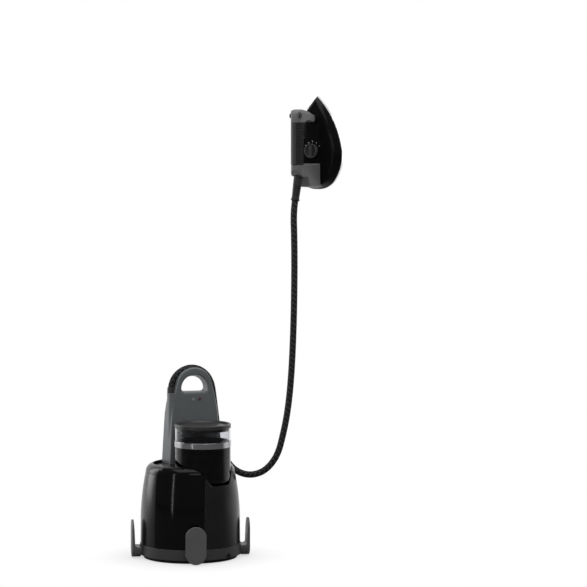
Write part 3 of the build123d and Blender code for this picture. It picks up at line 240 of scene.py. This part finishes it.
def lampLens(name, look):
    # small frosted lens, cloudy inside
    material, sheet = newMaterial(name)
    cloud = noise(sheet, look["cloud"])
    frost = noise(sheet, look["grain"])
    setSurface(
        sheet,
        Base_Color=blend(sheet, cloud * look["cloudShare"], look["colour"], look["pale"]),
        Roughness=look["rough"] + cloud * look["roughSpread"],
        Normal=bump(sheet, frost, look["depth"], look["grainHeight"], rounded(sheet, look["edge"])),
        Coat_Weight=look["coat"],
    )
    return material


def braid(name, look):
    # woven sleeve: painted shade in the hollows between the strands, and a pale tracer thread in every third
    # one
    material, sheet = newMaterial(name)
    height = sheet.node("ShaderNodeAttribute", out="Fac", attribute_name="height")
    tracer = sheet.node("ShaderNodeAttribute", out="Fac", attribute_name="tracer")
    lie = sheet.node("ShaderNodeUVMap", uv_map="sleeve")
    worn = noise(sheet, look["wornScale"], detail=2.0, place=lie)
    fibre = noise(sheet, look["fibre"], detail=2.0)
    # the yarn is painted darker where the strands dip between each other: painted shade in the hollows
    yarnWithPaintedShade = blend(sheet, height, look["hollow"], look["colour"])
    shows = rise(sheet, tracer * (look["tracerLeast"] + worn), *look["tracerEnds"])
    setSurface(
        sheet,
        Base_Color=blend(sheet, shows, yarnWithPaintedShade, look["tracerColour"]),
        Roughness=look["rough"] + fibre * look["roughSpread"],
        Normal=bump(sheet, fibre, look["depth"], look["fibreHeight"]),
        Specular_IOR_Level=look["specular"],
    )
    return material


lacquer = plastic("blackLacquer", {
    "colour": grey(0.003), "spread": 1.3, "grain": 700, "depth": 0.004, "rough": 0.11, "roughSpread": 0.04,
    "edge": 0.0014, "wear": 0.6, "edgeColour": grey(0.02), "specular": 0.14,
})
shellSatin = plastic("darkShell", {
    "colour": grey(0.008), "spread": 1.4, "grain": 900, "depth": 0.01, "rough": 0.26, "edge": 0.0014,
    "edgeColour": grey(0.04), "specular": 0.3,
})
ringGrey = plastic("ringGrey", {
    "colour": grey(0.045), "grain": 2400, "depth": 0.08, "rough": 0.46, "edge": 0.0012,
    "edgeColour": grey(0.1), "specular": 0.35,
})
hookGrey = plastic("hookGrey", {
    "colour": grey(0.1), "grain": 2400, "depth": 0.08, "rough": 0.42, "edge": 0.0012,
    "edgeColour": grey(0.15), "specular": 0.4,
})
towerGrey = plastic("towerGrey", {
    "colour": (0.122, 0.132, 0.137, 1.0), "grain": 2200, "depth": 0.09, "rough": 0.45, "edge": 0.0012,
    "edgeColour": grey(0.15), "specular": 0.4,
})
lidGrey = plastic("lidGrey", {
    "colour": grey(0.03), "grain": 2400, "depth": 0.07, "rough": 0.38, "edge": 0.0009,
    "edgeColour": grey(0.09), "specular": 0.4,
})
bayBlack = plastic("bayBlack", {
    "colour": grey(0.006), "spread": 1.6, "grain": 2600, "depth": 0.07, "rough": 0.5, "edge": 0.0007,
    "specular": 0.3,
})
cupSmoke = plastic("cupSmoke", {
    "colour": grey(0.004), "spread": 1.6, "grain": 800, "depth": 0.02, "rough": 0.2, "edge": 0.0007,
    "specular": 0.2,
})
ironBlack = plastic("ironBlack", {
    "colour": grey(0.004), "spread": 1.4, "grain": 800, "depth": 0.01, "rough": 0.16, "edge": 0.001,
    "edgeColour": grey(0.02), "specular": 0.1,
})
ironGrey = plastic("ironGrey", {
    "colour": grey(0.14), "grain": 2300, "depth": 0.08, "rough": 0.42, "edge": 0.0012,
    "edgeColour": grey(0.2), "specular": 0.4,
})
spineGrey = plastic("spineGrey", {
    "colour": grey(0.035), "grain": 2300, "depth": 0.08, "rough": 0.42, "edge": 0.0012,
    "edgeColour": grey(0.12), "specular": 0.4,
})
boardGreen = plastic("boardGreen", {
    "colour": (0.012, 0.09, 0.03, 1.0), "grain": 600, "depth": 0.1, "rough": 0.4, "edge": 0.0003,
})
pumpPaint = plastic("pumpPaint", {
    "colour": grey(0.03), "grain": 900, "depth": 0.06, "rough": 0.35, "edge": 0.0008,
})
printWhite = plastic("printWhite", {
    "colour": grey(0.62), "grain": 3000, "depth": 0.03, "rough": 0.5, "edge": 0.0001,
})
bandBright = metal("bandBright", {
    "colour": grey(0.45), "grain": 300, "stretch": (1, 1, 12), "rough": 0.1, "depth": 0.01, "edge": 0.0005,
})
soleMetal = metal("soleMetal", {
    "colour": grey(0.86), "grain": 260, "stretch": (9, 9, 0.6), "rough": 0.16, "depth": 0.03,
    "edge": 0.0009,
})
castMetal = metal("castMetal", {
    "colour": grey(0.5), "grain": 700, "stretch": (1, 1, 1), "rough": 0.38, "depth": 0.12, "edge": 0.0008,
})
steel = metal("steel", {
    "colour": grey(0.55), "grain": 900, "stretch": (1, 1, 6), "rough": 0.28, "depth": 0.05, "edge": 0.0004,
})
brass = metal("brass", {
    "colour": (0.6, 0.41, 0.15, 1.0), "grain": 600, "stretch": (1, 1, 4), "rough": 0.3, "depth": 0.05,
    "edge": 0.0004,
})
footRubber = rubber("footRubber", {
    "colour": grey(0.012), "grain": 2600, "depth": 0.12, "rough": 0.68, "edge": 0.0006,
})
gripRubber = rubber("gripRubber", {
    "colour": grey(0.017), "grain": 2200, "depth": 0.16, "rough": 0.62, "edge": 0.0005,
})
silicone = rubber("silicone", {
    "colour": (0.5, 0.48, 0.44, 1.0), "grain": 1200, "depth": 0.05, "rough": 0.4, "edge": 0.0004,
})
clearTank = clearPlastic("clearTank", {
    "colour": (0.8, 0.81, 0.83, 1.0), "markColour": (0.6, 0.61, 0.63, 1.0), "markShare": 0.35, "marks": 60,
    "ripple": 30, "rippleHeight": 0.0006, "rough": 0.02, "roughSpread": 0.05, "depth": 0.05, "edge": 0.0006,
    "ior": 1.3, "smoke": grey(0.06), "smokeEnds": (0.241, 0.244),  # heights between which the smoke gives out
})
lensLook = {
    "cloud": 900, "cloudShare": 0.5, "grain": 2600, "grainHeight": 0.0002, "rough": 0.28, "roughSpread": 0.1,
    "depth": 0.06, "edge": 0.0006, "coat": 0.4,
}
lensWhite = lampLens("lensWhite", {**lensLook, "colour": grey(0.24), "pale": grey(0.36)})
lensRed = lampLens("lensRed", {
    **lensLook, "colour": (0.09, 0.032, 0.03, 1.0), "pale": (0.14, 0.06, 0.055, 1.0),
})
# the second colour is painted shade, for the hollows between the strands
hoseBraid = braid("hoseBraid", {
    "colour": grey(0.021), "hollow": grey(0.005), "tracerColour": grey(0.2), "tracerLeast": 0.5,
    "tracerEnds": (0.72, 1.05), "wornScale": 60, "fibre": 1800, "fibreHeight": 0.0002, "rough": 0.6,
    "roughSpread": 0.25, "depth": 0.25, "specular": 0.2,
})

nodeFinish = {
    "front_panel": lacquer, "rear_shell": shellSatin, "base_tray": ringGrey, "top_deck": shellSatin,
    "tank_well": bayBlack, "foot_ring": footRubber, "cord_gland": footRubber, "hook_front": hookGrey,
    "hook_right": hookGrey, "hook_back": hookGrey, "hook_left": hookGrey, "hook_screws": steel,
    "hose_collar": lidGrey, "tower_front": towerGrey, "tower_back": towerGrey, "tower_screws": steel,
    "lens_white": lensWhite, "lens_red": lensRed, "control_board": boardGreen, "boiler_lower": castMetal,
    "boiler_upper": castMetal, "boiler_screws": steel, "heater_ring": steel, "boiler_thermostat": brass,
    "safety_valve": brass, "steam_valve": brass, "steam_tube": silicone, "pump": pumpPaint,
    "pump_mounts": footRubber, "dock_coupling": bayBlack, "feed_tube": silicone, "pressure_tube": silicone,
    "switch_frame": bayBlack, "power_switch": cupSmoke, "drain_plug": bayBlack, "tank_vessel": clearTank,
    "tank_band": bandBright, "filter_basket": cupSmoke, "valve_cage": bayBlack, "valve_spring": steel,
    "valve_poppet": bayBlack, "tank_lid": lidGrey, "lid_seal": footRubber, "soleplate": soleMetal,
    "heater_block": castMetal, "thermostat": brass, "skirt": ironBlack, "handle_core": bayBlack,
    "grip_sleeve": gripRubber, "handle_spine": spineGrey, "hose_boot": gripRubber, "heel_cover": ironGrey,
    "trigger_pin": bayBlack, "front_arch": ironGrey, "trigger_spring": steel, "steam_trigger": bayBlack,
    "temperature_dial": spineGrey,
}
for name, finish in nodeFinish.items():
    nodes[name].data.materials.clear()
    nodes[name].data.materials.append(finish)
print("finishes set on", len(nodeFinish), "nodes")


# Helpers for new pieces

def addPiece(name, mesh, finish, body=None):
    piece = bpy.data.objects.new(name, mesh)
    bpy.context.scene.collection.objects.link(piece)
    mesh.materials.clear()
    mesh.materials.append(finish)
    if body:
        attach(piece, body)
    return piece


def meshFrom(build, name, sharp=math.radians(40), merge=1e-6):
    bmesh.ops.remove_doubles(build, verts=build.verts[:], dist=merge)
    bmesh.ops.recalc_face_normals(build, faces=build.faces[:])
    for face in build.faces:
        face.smooth = True
    mesh = bpy.data.meshes.new(name)
    build.to_mesh(mesh)
    build.free()
    mesh.set_sharp_from_angle(angle=sharp)
    return mesh


# Softened copies of the iron's two grey mouldings

softCopies = {
    "heel_cover": {"piece": "heelCover", "voxel": 0.0008, "passes": 14},
    "front_arch": {"piece": "frontArch", "voxel": 0.0007, "passes": 12},
}


def softened(name, look):
    build = bmesh.new()
    build.from_mesh(nodes[name].data)
    holder = bpy.data.objects.new(name + "Holder", meshFrom(build, name + "Holder"))
    bpy.context.scene.collection.objects.link(holder)
    remesh = holder.modifiers.new("remesh", "REMESH")
    remesh.mode = "VOXEL"
    remesh.voxel_size = look["voxel"]
    smooth = holder.modifiers.new("smooth", "SMOOTH")
    smooth.factor = 0.5
    smooth.iterations = look["passes"]
    seen = holder.evaluated_get(bpy.context.evaluated_depsgraph_get())
    mesh = bpy.data.meshes.new_from_object(seen)
    bpy.data.objects.remove(holder)
    for face in mesh.polygons:
        face.use_smooth = True
    mesh.name = look["piece"]
    return mesh


for name, look in softCopies.items():
    piece = addPiece(look["piece"], softened(name, look), ironGrey, "iron")
    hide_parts(name)
print("softened", len(softCopies), "mouldings")


# Iron's skirt: a leaning wall, a rounded crease and a bowed deck, with the post under the arch

iron = {  # in millimetres from the heel, but for its origin
    "origin": (0.2886, 0.113, 0.7656),
    "yaw": 40,
    "sole": [  # arcs of the half outline, each through three points
        ((198, 0), (136, 45.7), (82, 62.2)),
        ((82, 62.2), (45, 57.6), (15, 40.6)),
        ((15, 40.6), (3.2, 22), (0, 0)),
    ],
    "steps": (44, 26, 16),  # points along each arc
    "soleTop": 7,
    "inset": 1.4,
    "lean": 24,
    "deck": ((-4, 24), (46, 25.8), (95, 25.8), (150, 23), (202, 14)),
    "crease": 5.0,  # how far the rounded crease reaches down the wall and in over the deck
    "creaseShares": (0.45, 0.6),  # the most it takes of the wall's rise and of the deck's half width
    "creaseSteps": 6,
    "merge": 0.002,
    "post": {"place": 151.5, "size": (14, 16), "low": 17, "top": 42, "corner": 4, "cornerSteps": 5},
    "dial": {
        "place": 82, "tickRadius": 19.6, "tickAngles": (-56, -28, 0, 28, 56), "tickSize": (3.4, 0.9, 0.5),
    },
}


def ironMatrix():
    yaw = math.radians(iron["yaw"])
    along = Vector((0, 0, 1))
    across = Vector((-math.cos(yaw), math.sin(yaw), 0))
    up = Vector((-math.sin(yaw), -math.cos(yaw), 0))
    turn = Matrix((along, across, up)).transposed().to_4x4()
    return Matrix.Translation(iron["origin"]) @ turn @ Matrix.Scale(0.001, 4)


def arcPoints(start, through, end, steps):
    # points of the circle arc through three points, without its last point
    (ax, ay), (bx, by), (cx, cy) = start, through, end
    d = 2 * (ax * (by - cy) + bx * (cy - ay) + cx * (ay - by))
    aa, bb, cc = ax * ax + ay * ay, bx * bx + by * by, cx * cx + cy * cy
    mx = (aa * (by - cy) + bb * (cy - ay) + cc * (ay - by)) / d
    my = (aa * (cx - bx) + bb * (ax - cx) + cc * (bx - ax)) / d
    radius = math.hypot(ax - mx, ay - my)
    first = math.atan2(ay - my, ax - mx)
    turn = math.atan2(cy - my, cx - mx) - first
    turn = math.remainder(turn, 2 * math.pi)
    angles = [first + turn * step / steps for step in range(steps)]
    return [(mx + radius * math.cos(angle), my + radius * math.sin(angle)) for angle in angles]


def deckHeight(along):
    # Lagrange polynomial through the deck's points
    total = 0.0
    for one, (place, height) in enumerate(iron["deck"]):
        share = height
        for two, (other, _) in enumerate(iron["deck"]):
            if one != two:
                share *= (along - other) / (place - other)
        total += share
    return total


def soleHalf():
    half = []
    for (start, through, end), steps in zip(iron["sole"], iron["steps"]):
        half += arcPoints(start, through, end, steps)
    return [Vector(point) for point in half + [iron["sole"][-1][-1]]]


def inwardWays(half, least=0.5):
    # mitred inward ways at the points of the half outline, from the toe to the heel; least caps a sharp mitre
    mirrored = [Vector((half[1].x, -half[1].y))] + half + [Vector((half[-2].x, -half[-2].y))]
    ways = []
    for before, here, after in zip(mirrored, mirrored[1:], mirrored[2:]):
        arriving = (here - before).normalized()
        leaving = (after - here).normalized()
        way = Vector((-(arriving + leaving).y, (arriving + leaving).x)).normalized()
        ways.append(way / max(least, way.dot(Vector((-arriving.y, arriving.x)))))
    return ways


def skirtProfile(point, way):
    # one station of the skirt, from the sole's edge up the wall, round the crease and onto the deck
    slope = math.tan(math.radians(iron["lean"]))
    foot = Vector((*(point + way * iron["inset"]), iron["soleTop"]))
    wallRise = iron["deck"][0][1] - iron["soleTop"]
    for _ in range(6):  # the deck's height where the leaning wall meets it
        wallRise = deckHeight((point + way * (iron["inset"] + wallRise * slope)).x) - iron["soleTop"]
    if way.x < 0:
        # towards the toe the two walls meet in a ridge before they reach the deck
        wallRise = min(wallRise, foot.y / max(-way.y * slope, 1e-9))
    wallWay = Vector((*(way * slope), 1.0))
    edge = foot + wallWay * wallRise
    riseShare, widthShare = iron["creaseShares"]
    reach = min(iron["crease"], riseShare * wallRise, widthShare * abs(edge.y))
    low = edge - wallWay.normalized() * reach
    inner = Vector((edge.x + way.x * reach, edge.y + way.y * reach, edge.z))
    inner.z += deckHeight(inner.x) - deckHeight(edge.x)
    curve = []
    for step in range(iron["creaseSteps"] + 1):
        t = step / iron["creaseSteps"]
        curve.append(low * (1 - t) ** 2 + edge * (2 * t * (1 - t)) + inner * t**2)
    return [foot, foot.lerp(low, 0.5)] + curve


def skirtMesh():
    build = bmesh.new()
    half = soleHalf()
    stations = [skirtProfile(point, way) for point, way in zip(half, inwardWays(half))]
    sides = []
    for sign in (1, -1):
        sides.append([[build.verts.new((p.x, p.y * sign, p.z)) for p in station] for station in stations])
    for side in sides:
        for one, two in zip(side, side[1:]):
            for low in range(len(one) - 1):
                build.faces.new((one[low], two[low], two[low + 1], one[low + 1]))
    for level in (0, -1):
        for step in range(len(stations) - 1):
            ring = [sides[0][step], sides[0][step + 1], sides[1][step + 1], sides[1][step]]
            build.faces.new([station[level] for station in ring])
    bmesh.ops.remove_doubles(build, verts=build.verts[:], dist=iron["merge"])
    bmesh.ops.dissolve_degenerate(build, edges=build.edges[:], dist=iron["merge"])
    post = iron["post"]
    tall = post["top"] - post["low"]
    size = Matrix.Diagonal((*post["size"], tall, 1))
    middle = Matrix.Translation((post["place"], 0, (post["top"] + post["low"]) / 2))
    block = bmesh.ops.create_cube(build, size=1.0, matrix=middle @ size)["verts"]
    upright = [
        edge for edge in {edge for vertex in block for edge in vertex.link_edges}
        if abs(edge.verts[0].co.z - edge.verts[1].co.z) > tall / 2
    ]
    bmesh.ops.bevel(
        build, geom=upright, offset=post["corner"], segments=post["cornerSteps"], profile=0.5, affect="EDGES",
        material=-1,
    )
    bmesh.ops.transform(build, matrix=ironMatrix(), verts=build.verts[:])
    return meshFrom(build, "ironSkirt")


skirtPiece = addPiece("ironSkirt", skirtMesh(), ironBlack, "iron")
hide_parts("skirt")


def tickMesh():
    # plain setting marks on the deck, round the dial's toe side
    build = bmesh.new()
    dial = iron["dial"]
    for angle in dial["tickAngles"]:
        spin = math.radians(angle)
        along = dial["place"] + dial["tickRadius"] * math.cos(spin)
        spot = Matrix.Translation((along, dial["tickRadius"] * math.sin(spin), deckHeight(along)))
        shape = Matrix.Rotation(spin, 4, "Z") @ Matrix.Diagonal((*dial["tickSize"], 1))
        bmesh.ops.create_cube(build, size=1.0, matrix=spot @ shape)
    bmesh.ops.transform(build, matrix=ironMatrix(), verts=build.verts[:])
    return meshFrom(build, "dialTicks")


addPiece("dialTicks", tickMesh(), printWhite, "iron")
print("skirt and dial marks built")


# Wound springs between the two pieces they push apart

springs = {  # in millimetres; the first body is the one at the foot
    "valve_spring": {
        "piece": "valveCoil", "foot": (23.511, -32.361, 164.7), "length": 15.9, "radius": 6.4, "wire": 0.55,
        "turns": 6, "bodies": ("tank_valve", "tank"),
    },
    "trigger_spring": {
        "piece": "triggerCoil", "foot": (236.534, 50.95, 908.6), "length": 6, "radius": 1.75, "wire": 0.35,
        "turns": 5, "bodies": ("iron", "trigger"),
    },
}
winding = {"sides": 8, "stepsPerTurn": 20}


def coilMesh(look):
    build = bmesh.new()
    wire = look["wire"]
    steps = winding["stepsPerTurn"] * look["turns"]
    climb = (look["length"] - 2 * wire) / steps
    spot = Matrix.Translation((look["radius"], 0, wire)) @ Matrix.Rotation(math.pi / 2, 4, "X")
    bmesh.ops.create_circle(build, segments=winding["sides"], radius=wire, matrix=spot)
    bmesh.ops.spin(
        build, geom=build.verts[:] + build.edges[:], cent=(0, 0, 0), axis=(0, 0, 1), dvec=(0, 0, climb),
        angle=2 * math.pi * look["turns"], steps=steps,
    )
    bmesh.ops.holes_fill(build, edges=[edge for edge in build.edges if edge.is_boundary])
    place = Matrix.Translation(Vector(look["foot"]) / 1000) @ Matrix.Scale(0.001, 4)
    bmesh.ops.transform(build, matrix=place, verts=build.verts[:])
    return meshFrom(build, look["piece"])


for name, look in springs.items():
    piece = addPiece(look["piece"], coilMesh(look), steel)
    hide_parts(name)
    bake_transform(piece)
print("wound", len(springs), "springs")


# Steam hose: over the arch in its groove, then free down, round and up to the iron

hose = {
    "diameter": 0.0134,
    "sides": 72,
    "step": 0.0009,
    "strands": 12,
    "strandBelly": 0.7,  # below 1 a strand is fuller than a plain wave
    "tracerEvery": 3,
    "relief": 0.0005,
    "length": 0.98,
    "overArch": [  # sideways and up along the arch, in millimetres
        (-47.5, 343), (-47.5, 355.5), (-41.3, 372.5), (-29, 385.6), (-12.2, 393.2), (5.2, 393.2),
        (21.5, 385.6), (33.4, 372.5), (40.1, 356), (43.4, 332), (46.6, 306), (49.4, 283), (51.4, 262),
    ],
    "archMiddle": (12.8, 27),
    "archTurn": 6,
    "archDepth": 17,
    "free": [  # from the tower's flank to the iron's boot, in millimetres
        (64.13, 49.49, 241), (72.6, 50.3, 216), (82.3, 49.6, 193), (101.2, 47.2, 171.8),
        (127.5, 43.8, 162.4), (154.4, 40.4, 167.4), (175.3, 37.8, 184.3), (190.9, 35.9, 210),
        (200.3, 34.9, 246), (209.3, 34.0, 290), (216.1, 33.6, 345), (220.8, 33.5, 415), (224.0, 33.7, 505),
        (225.3, 34.0, 600), (224.8, 34.3, 670), (223.24, 35.107, 719.695), (227.425, 40.094, 744.867),
    ],
    "resolution": 24,
    "sideways": (0.9913, -0.1317, 0),  # the way across which it hangs
    "bendFrom": 0.11,
    "bendTo": 0.215,
}


def archPoint(side, height):
    turn = math.radians(hose["archTurn"])
    depth = hose["archDepth"]
    x = hose["archMiddle"][0] + side * math.cos(turn) - depth * math.sin(turn)
    y = hose["archMiddle"][1] + side * math.sin(turn) + depth * math.cos(turn)
    return (x, y, height)


def splineLine(name, points, resolution):
    # points read back from a smooth line that has the given points as its controls
    curve = bpy.data.curves.new(name, "CURVE")
    curve.dimensions = "3D"
    curve.resolution_u = resolution
    spline = curve.splines.new("NURBS")
    spline.points.add(len(points) - 1)
    for control, point in zip(spline.points, points):
        control.co = (*(value / 1000 for value in point), 1)
    spline.order_u = 3
    spline.use_endpoint_u = True
    holder = bpy.data.objects.new(name, curve)
    mesh = bpy.data.meshes.new_from_object(holder)
    line = [vertex.co.copy() for vertex in mesh.vertices]
    bpy.data.objects.remove(holder)
    bpy.data.curves.remove(curve)
    bpy.data.meshes.remove(mesh)
    return line


def lineLength(line):
    return sum((after - before).length for before, after in zip(line, line[1:]))


def evenLine(line, step):
    # the same line with its points an equal way apart
    count = round(lineLength(line) / step)
    gap = lineLength(line) / count
    points = [line[0]]
    need = gap
    for before, after in zip(line, line[1:]):
        run = (after - before).length
        gone = 0.0
        while len(points) < count and run - gone >= need:
            gone += need
            points.append(before.lerp(after, gone / run))
            need = gap
        need -= run - gone
    return points + [line[-1]]


def weave(around, along):
    # two sets of strands that cross, each over two and under two: the height, and whether it is a tracer
    one, two = along + around, along - around
    over = (math.floor(one) - math.floor(two)) % 4 < 2
    strand = one if over else two
    height = math.sin(math.pi * (strand % 1)) ** hose["strandBelly"]
    return height, height if math.floor(strand) % hose["tracerEvery"] == 0 else 0.0


def sleeveMesh(name, line, look):
    # rings along the line, drawn in between the strands, with a UV map that follows the weave
    build = bmesh.new()
    lie = build.loops.layers.uv.new("sleeve")
    heights = build.verts.layers.float.new("height")
    tracers = build.verts.layers.float.new("tracer")
    sides = look["sides"]
    across = (line[1] - line[0]).orthogonal().normalized()
    rings = []
    gone = 0.0
    for step, here in enumerate(line):
        before = line[max(step - 1, 0)]
        ahead = (line[min(step + 1, len(line) - 1)] - before).normalized()
        across = (across - ahead * across.dot(ahead)).normalized()
        beside = ahead.cross(across)
        gone += (here - before).length
        along = gone / (math.pi * look["diameter"])
        ring = []
        for turn in range(sides):
            angle = 2 * math.pi * turn / sides
            height, tracer = weave(look["strands"] * turn / sides, look["strands"] * along)
            radius = look["diameter"] / 2 + look["relief"] * (height - 0.5)
            vertex = build.verts.new(here + (across * math.cos(angle) + beside * math.sin(angle)) * radius)
            vertex[heights] = height
            vertex[tracers] = tracer
            ring.append(vertex)
        rings.append((ring, along))
    for (low, lowAlong), (high, highAlong) in zip(rings, rings[1:]):
        for turn in range(sides):
            following = (turn + 1) % sides
            face = build.faces.new((low[turn], low[following], high[following], high[turn]))
            face.smooth = True
            spots = ((turn, lowAlong), (turn + 1, lowAlong), (turn + 1, highAlong), (turn, highAlong))
            for loop, (around, along) in zip(face.loops, spots):
                loop[lie].uv = (around / sides, along)
    build.faces.new(rings[0][0][::-1])
    build.faces.new(rings[-1][0])
    mesh = bpy.data.meshes.new(name)
    build.to_mesh(mesh)
    build.free()
    return mesh


hosePoints = [archPoint(side, height) for side, height in hose["overArch"]] + hose["free"]
hoseLine = evenLine(splineLine("hoseLine", hosePoints, hose["resolution"]), hose["step"])
hosePiece = addPiece("steamHose", sleeveMesh("steamHose", hoseLine, hose), hoseBraid)
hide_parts("steam_hose", "hose_on_handle")
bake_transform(hosePiece)
print("hose", round(lineLength(hoseLine), 4), "m long")


# Floor, lights and camera

studio = {
    "floorSize": 40.0,
    "floor": grey(0.25),  # what lights the object from below; the camera sees it white
    "floorRough": 0.9,
    "whiteFrom": (-0.1, 0.5),  # from here back, reflections and clear walls show it white too
    "white": (1.0, 1.0, 1.0, 1.0),
    "shadow": (0.6, 0.6, 0.6, 1.0),  # how dark the painted contact shadow makes the floor's glow where the object stands on it
    "shadowReach": 0.1,
    "shadowSamples": 16,
    "backdropWay": (0.1317, 0.9913, 0.0),
    "backdropEnds": (0.35, 0.75),  # how near to that way reflections begin to show white, and show it whole
    "room": 0.2,  # how bright the rest of the room is
    "lamps": {
        "overhead": {"place": (0.1, -0.6, 3.2), "aim": (0.1, 0.0, 0.4), "size": (3.4, 2.4), "power": 62},
        "leftStrip": {"place": (-1.85, -1.7, 0.75), "aim": (0, 0, 0.2), "size": (0.08, 1.6), "power": 5},
        "leftSoft": {"place": (-1.9, 1.15, 1.1), "aim": (0, 0, 0.5), "size": (1.0, 2.1), "power": 28},
        "rightRear": {"place": (2.4, 0.9, 1.2), "aim": (0.15, 0, 0.3), "size": (0.9, 1.8), "power": 7},
        "frontFill": {"place": (0.6, -4.2, 2.4), "aim": (0.1, 0, 0.4), "size": (2.2, 1.4), "power": 26},
    },
}


def makeFloor():
    build = bmesh.new()
    bmesh.ops.create_grid(build, x_segments=1, y_segments=1, size=studio["floorSize"] / 2)
    mesh = bpy.data.meshes.new("floor")
    build.to_mesh(mesh)
    build.free()
    floor = bpy.data.objects.new("floor", mesh)
    bpy.context.scene.collection.objects.link(floor)
    material, sheet = newMaterial("floorPaint")
    setSurface(sheet, Base_Color=studio["floor"], Roughness=studio["floorRough"], Specular_IOR_Level=0.0)
    place = sheet.node("ShaderNodeTexCoord", out="Object")
    sockets = {0: place, 1: studio["backdropWay"]}
    behind = sheet.node("ShaderNodeVectorMath", sockets, "Value", operation="DOT_PRODUCT")
    shiny = sheet.node("ShaderNodeLightPath", out="Is Glossy Ray")
    shiny = shiny | sheet.node("ShaderNodeLightPath", out="Is Transmission Ray")
    seen = sheet.node("ShaderNodeLightPath", out="Is Camera Ray")
    seen = seen | (shiny * rise(sheet, behind, *studio["whiteFrom"]))
    # the floor's white glow is painted darker by ambient occlusion where the object stands on it: a painted
    # contact shadow
    sockets = {"Distance": studio["shadowReach"]}
    openness = sheet.node("ShaderNodeAmbientOcclusion", sockets, "AO", samples=studio["shadowSamples"])
    white = blend(sheet, openness, studio["shadow"], studio["white"])
    glow = sheet.node("ShaderNodeEmission", {"Color": white, "Strength": 1.0})
    paint = Wire(sheet.tree, sheet.tree.nodes["Principled BSDF"].outputs[0])
    mixed = sheet.node("ShaderNodeMixShader", {0: seen, 1: paint, 2: glow})
    feed(sheet.tree, sheet.tree.nodes["Material Output"], {"Surface": mixed})
    mesh.materials.append(material)


def makeLamps():
    for name, look in studio["lamps"].items():
        data = bpy.data.lights.new(name, "AREA")
        data.shape = "RECTANGLE"
        data.size, data.size_y = look["size"]
        data.energy = look["power"]
        lamp = bpy.data.objects.new(name, data)
        lamp.location = look["place"]
        way = Vector(look["aim"]) - Vector(look["place"])
        lamp.rotation_euler = way.to_track_quat("-Z", "Y").to_euler()
        lamp.visible_camera = False
        bpy.context.scene.collection.objects.link(lamp)


def makeWorld():
    world = bpy.data.worlds.new("studio")
    world.use_nodes = True
    sheet = Wire(world.node_tree)
    way = sheet.node("ShaderNodeTexCoord", out="Generated")
    sockets = {0: way, 1: studio["backdropWay"]}
    behind = sheet.node("ShaderNodeVectorMath", sockets, "Value", operation="DOT_PRODUCT")
    backdrop = rise(sheet, behind, *studio["backdropEnds"])
    seen = sheet.node("ShaderNodeLightPath", out="Is Camera Ray")
    shiny = sheet.node("ShaderNodeLightPath", out="Is Glossy Ray")
    shiny = shiny | sheet.node("ShaderNodeLightPath", out="Is Transmission Ray")
    room = studio["room"]
    level = seen + (1 - seen) * (room + shiny * backdrop * (1 - room))
    feed(sheet.tree, sheet.tree.nodes["Background"], {"Color": studio["white"], "Strength": level})
    bpy.context.scene.world = world


cameraSpot = {"place": (-0.575, -5.972, 1.02), "yaw": 7.57, "pitch": 4.448, "lens": 176.6, "sensor": 36}


def makeCamera():
    data = bpy.data.cameras.new("camera")
    data.lens = cameraSpot["lens"]
    data.sensor_width = cameraSpot["sensor"]
    camera = bpy.data.objects.new("camera", data)
    camera.location = cameraSpot["place"]
    camera.rotation_euler = (math.radians(90 - cameraSpot["pitch"]), 0, math.radians(-cameraSpot["yaw"]))
    bpy.context.scene.collection.objects.link(camera)
    bpy.context.scene.camera = camera


makeFloor()
makeLamps()
makeWorld()
makeCamera()
bpy.context.scene.view_settings.view_transform = "Standard"
print("studio set")
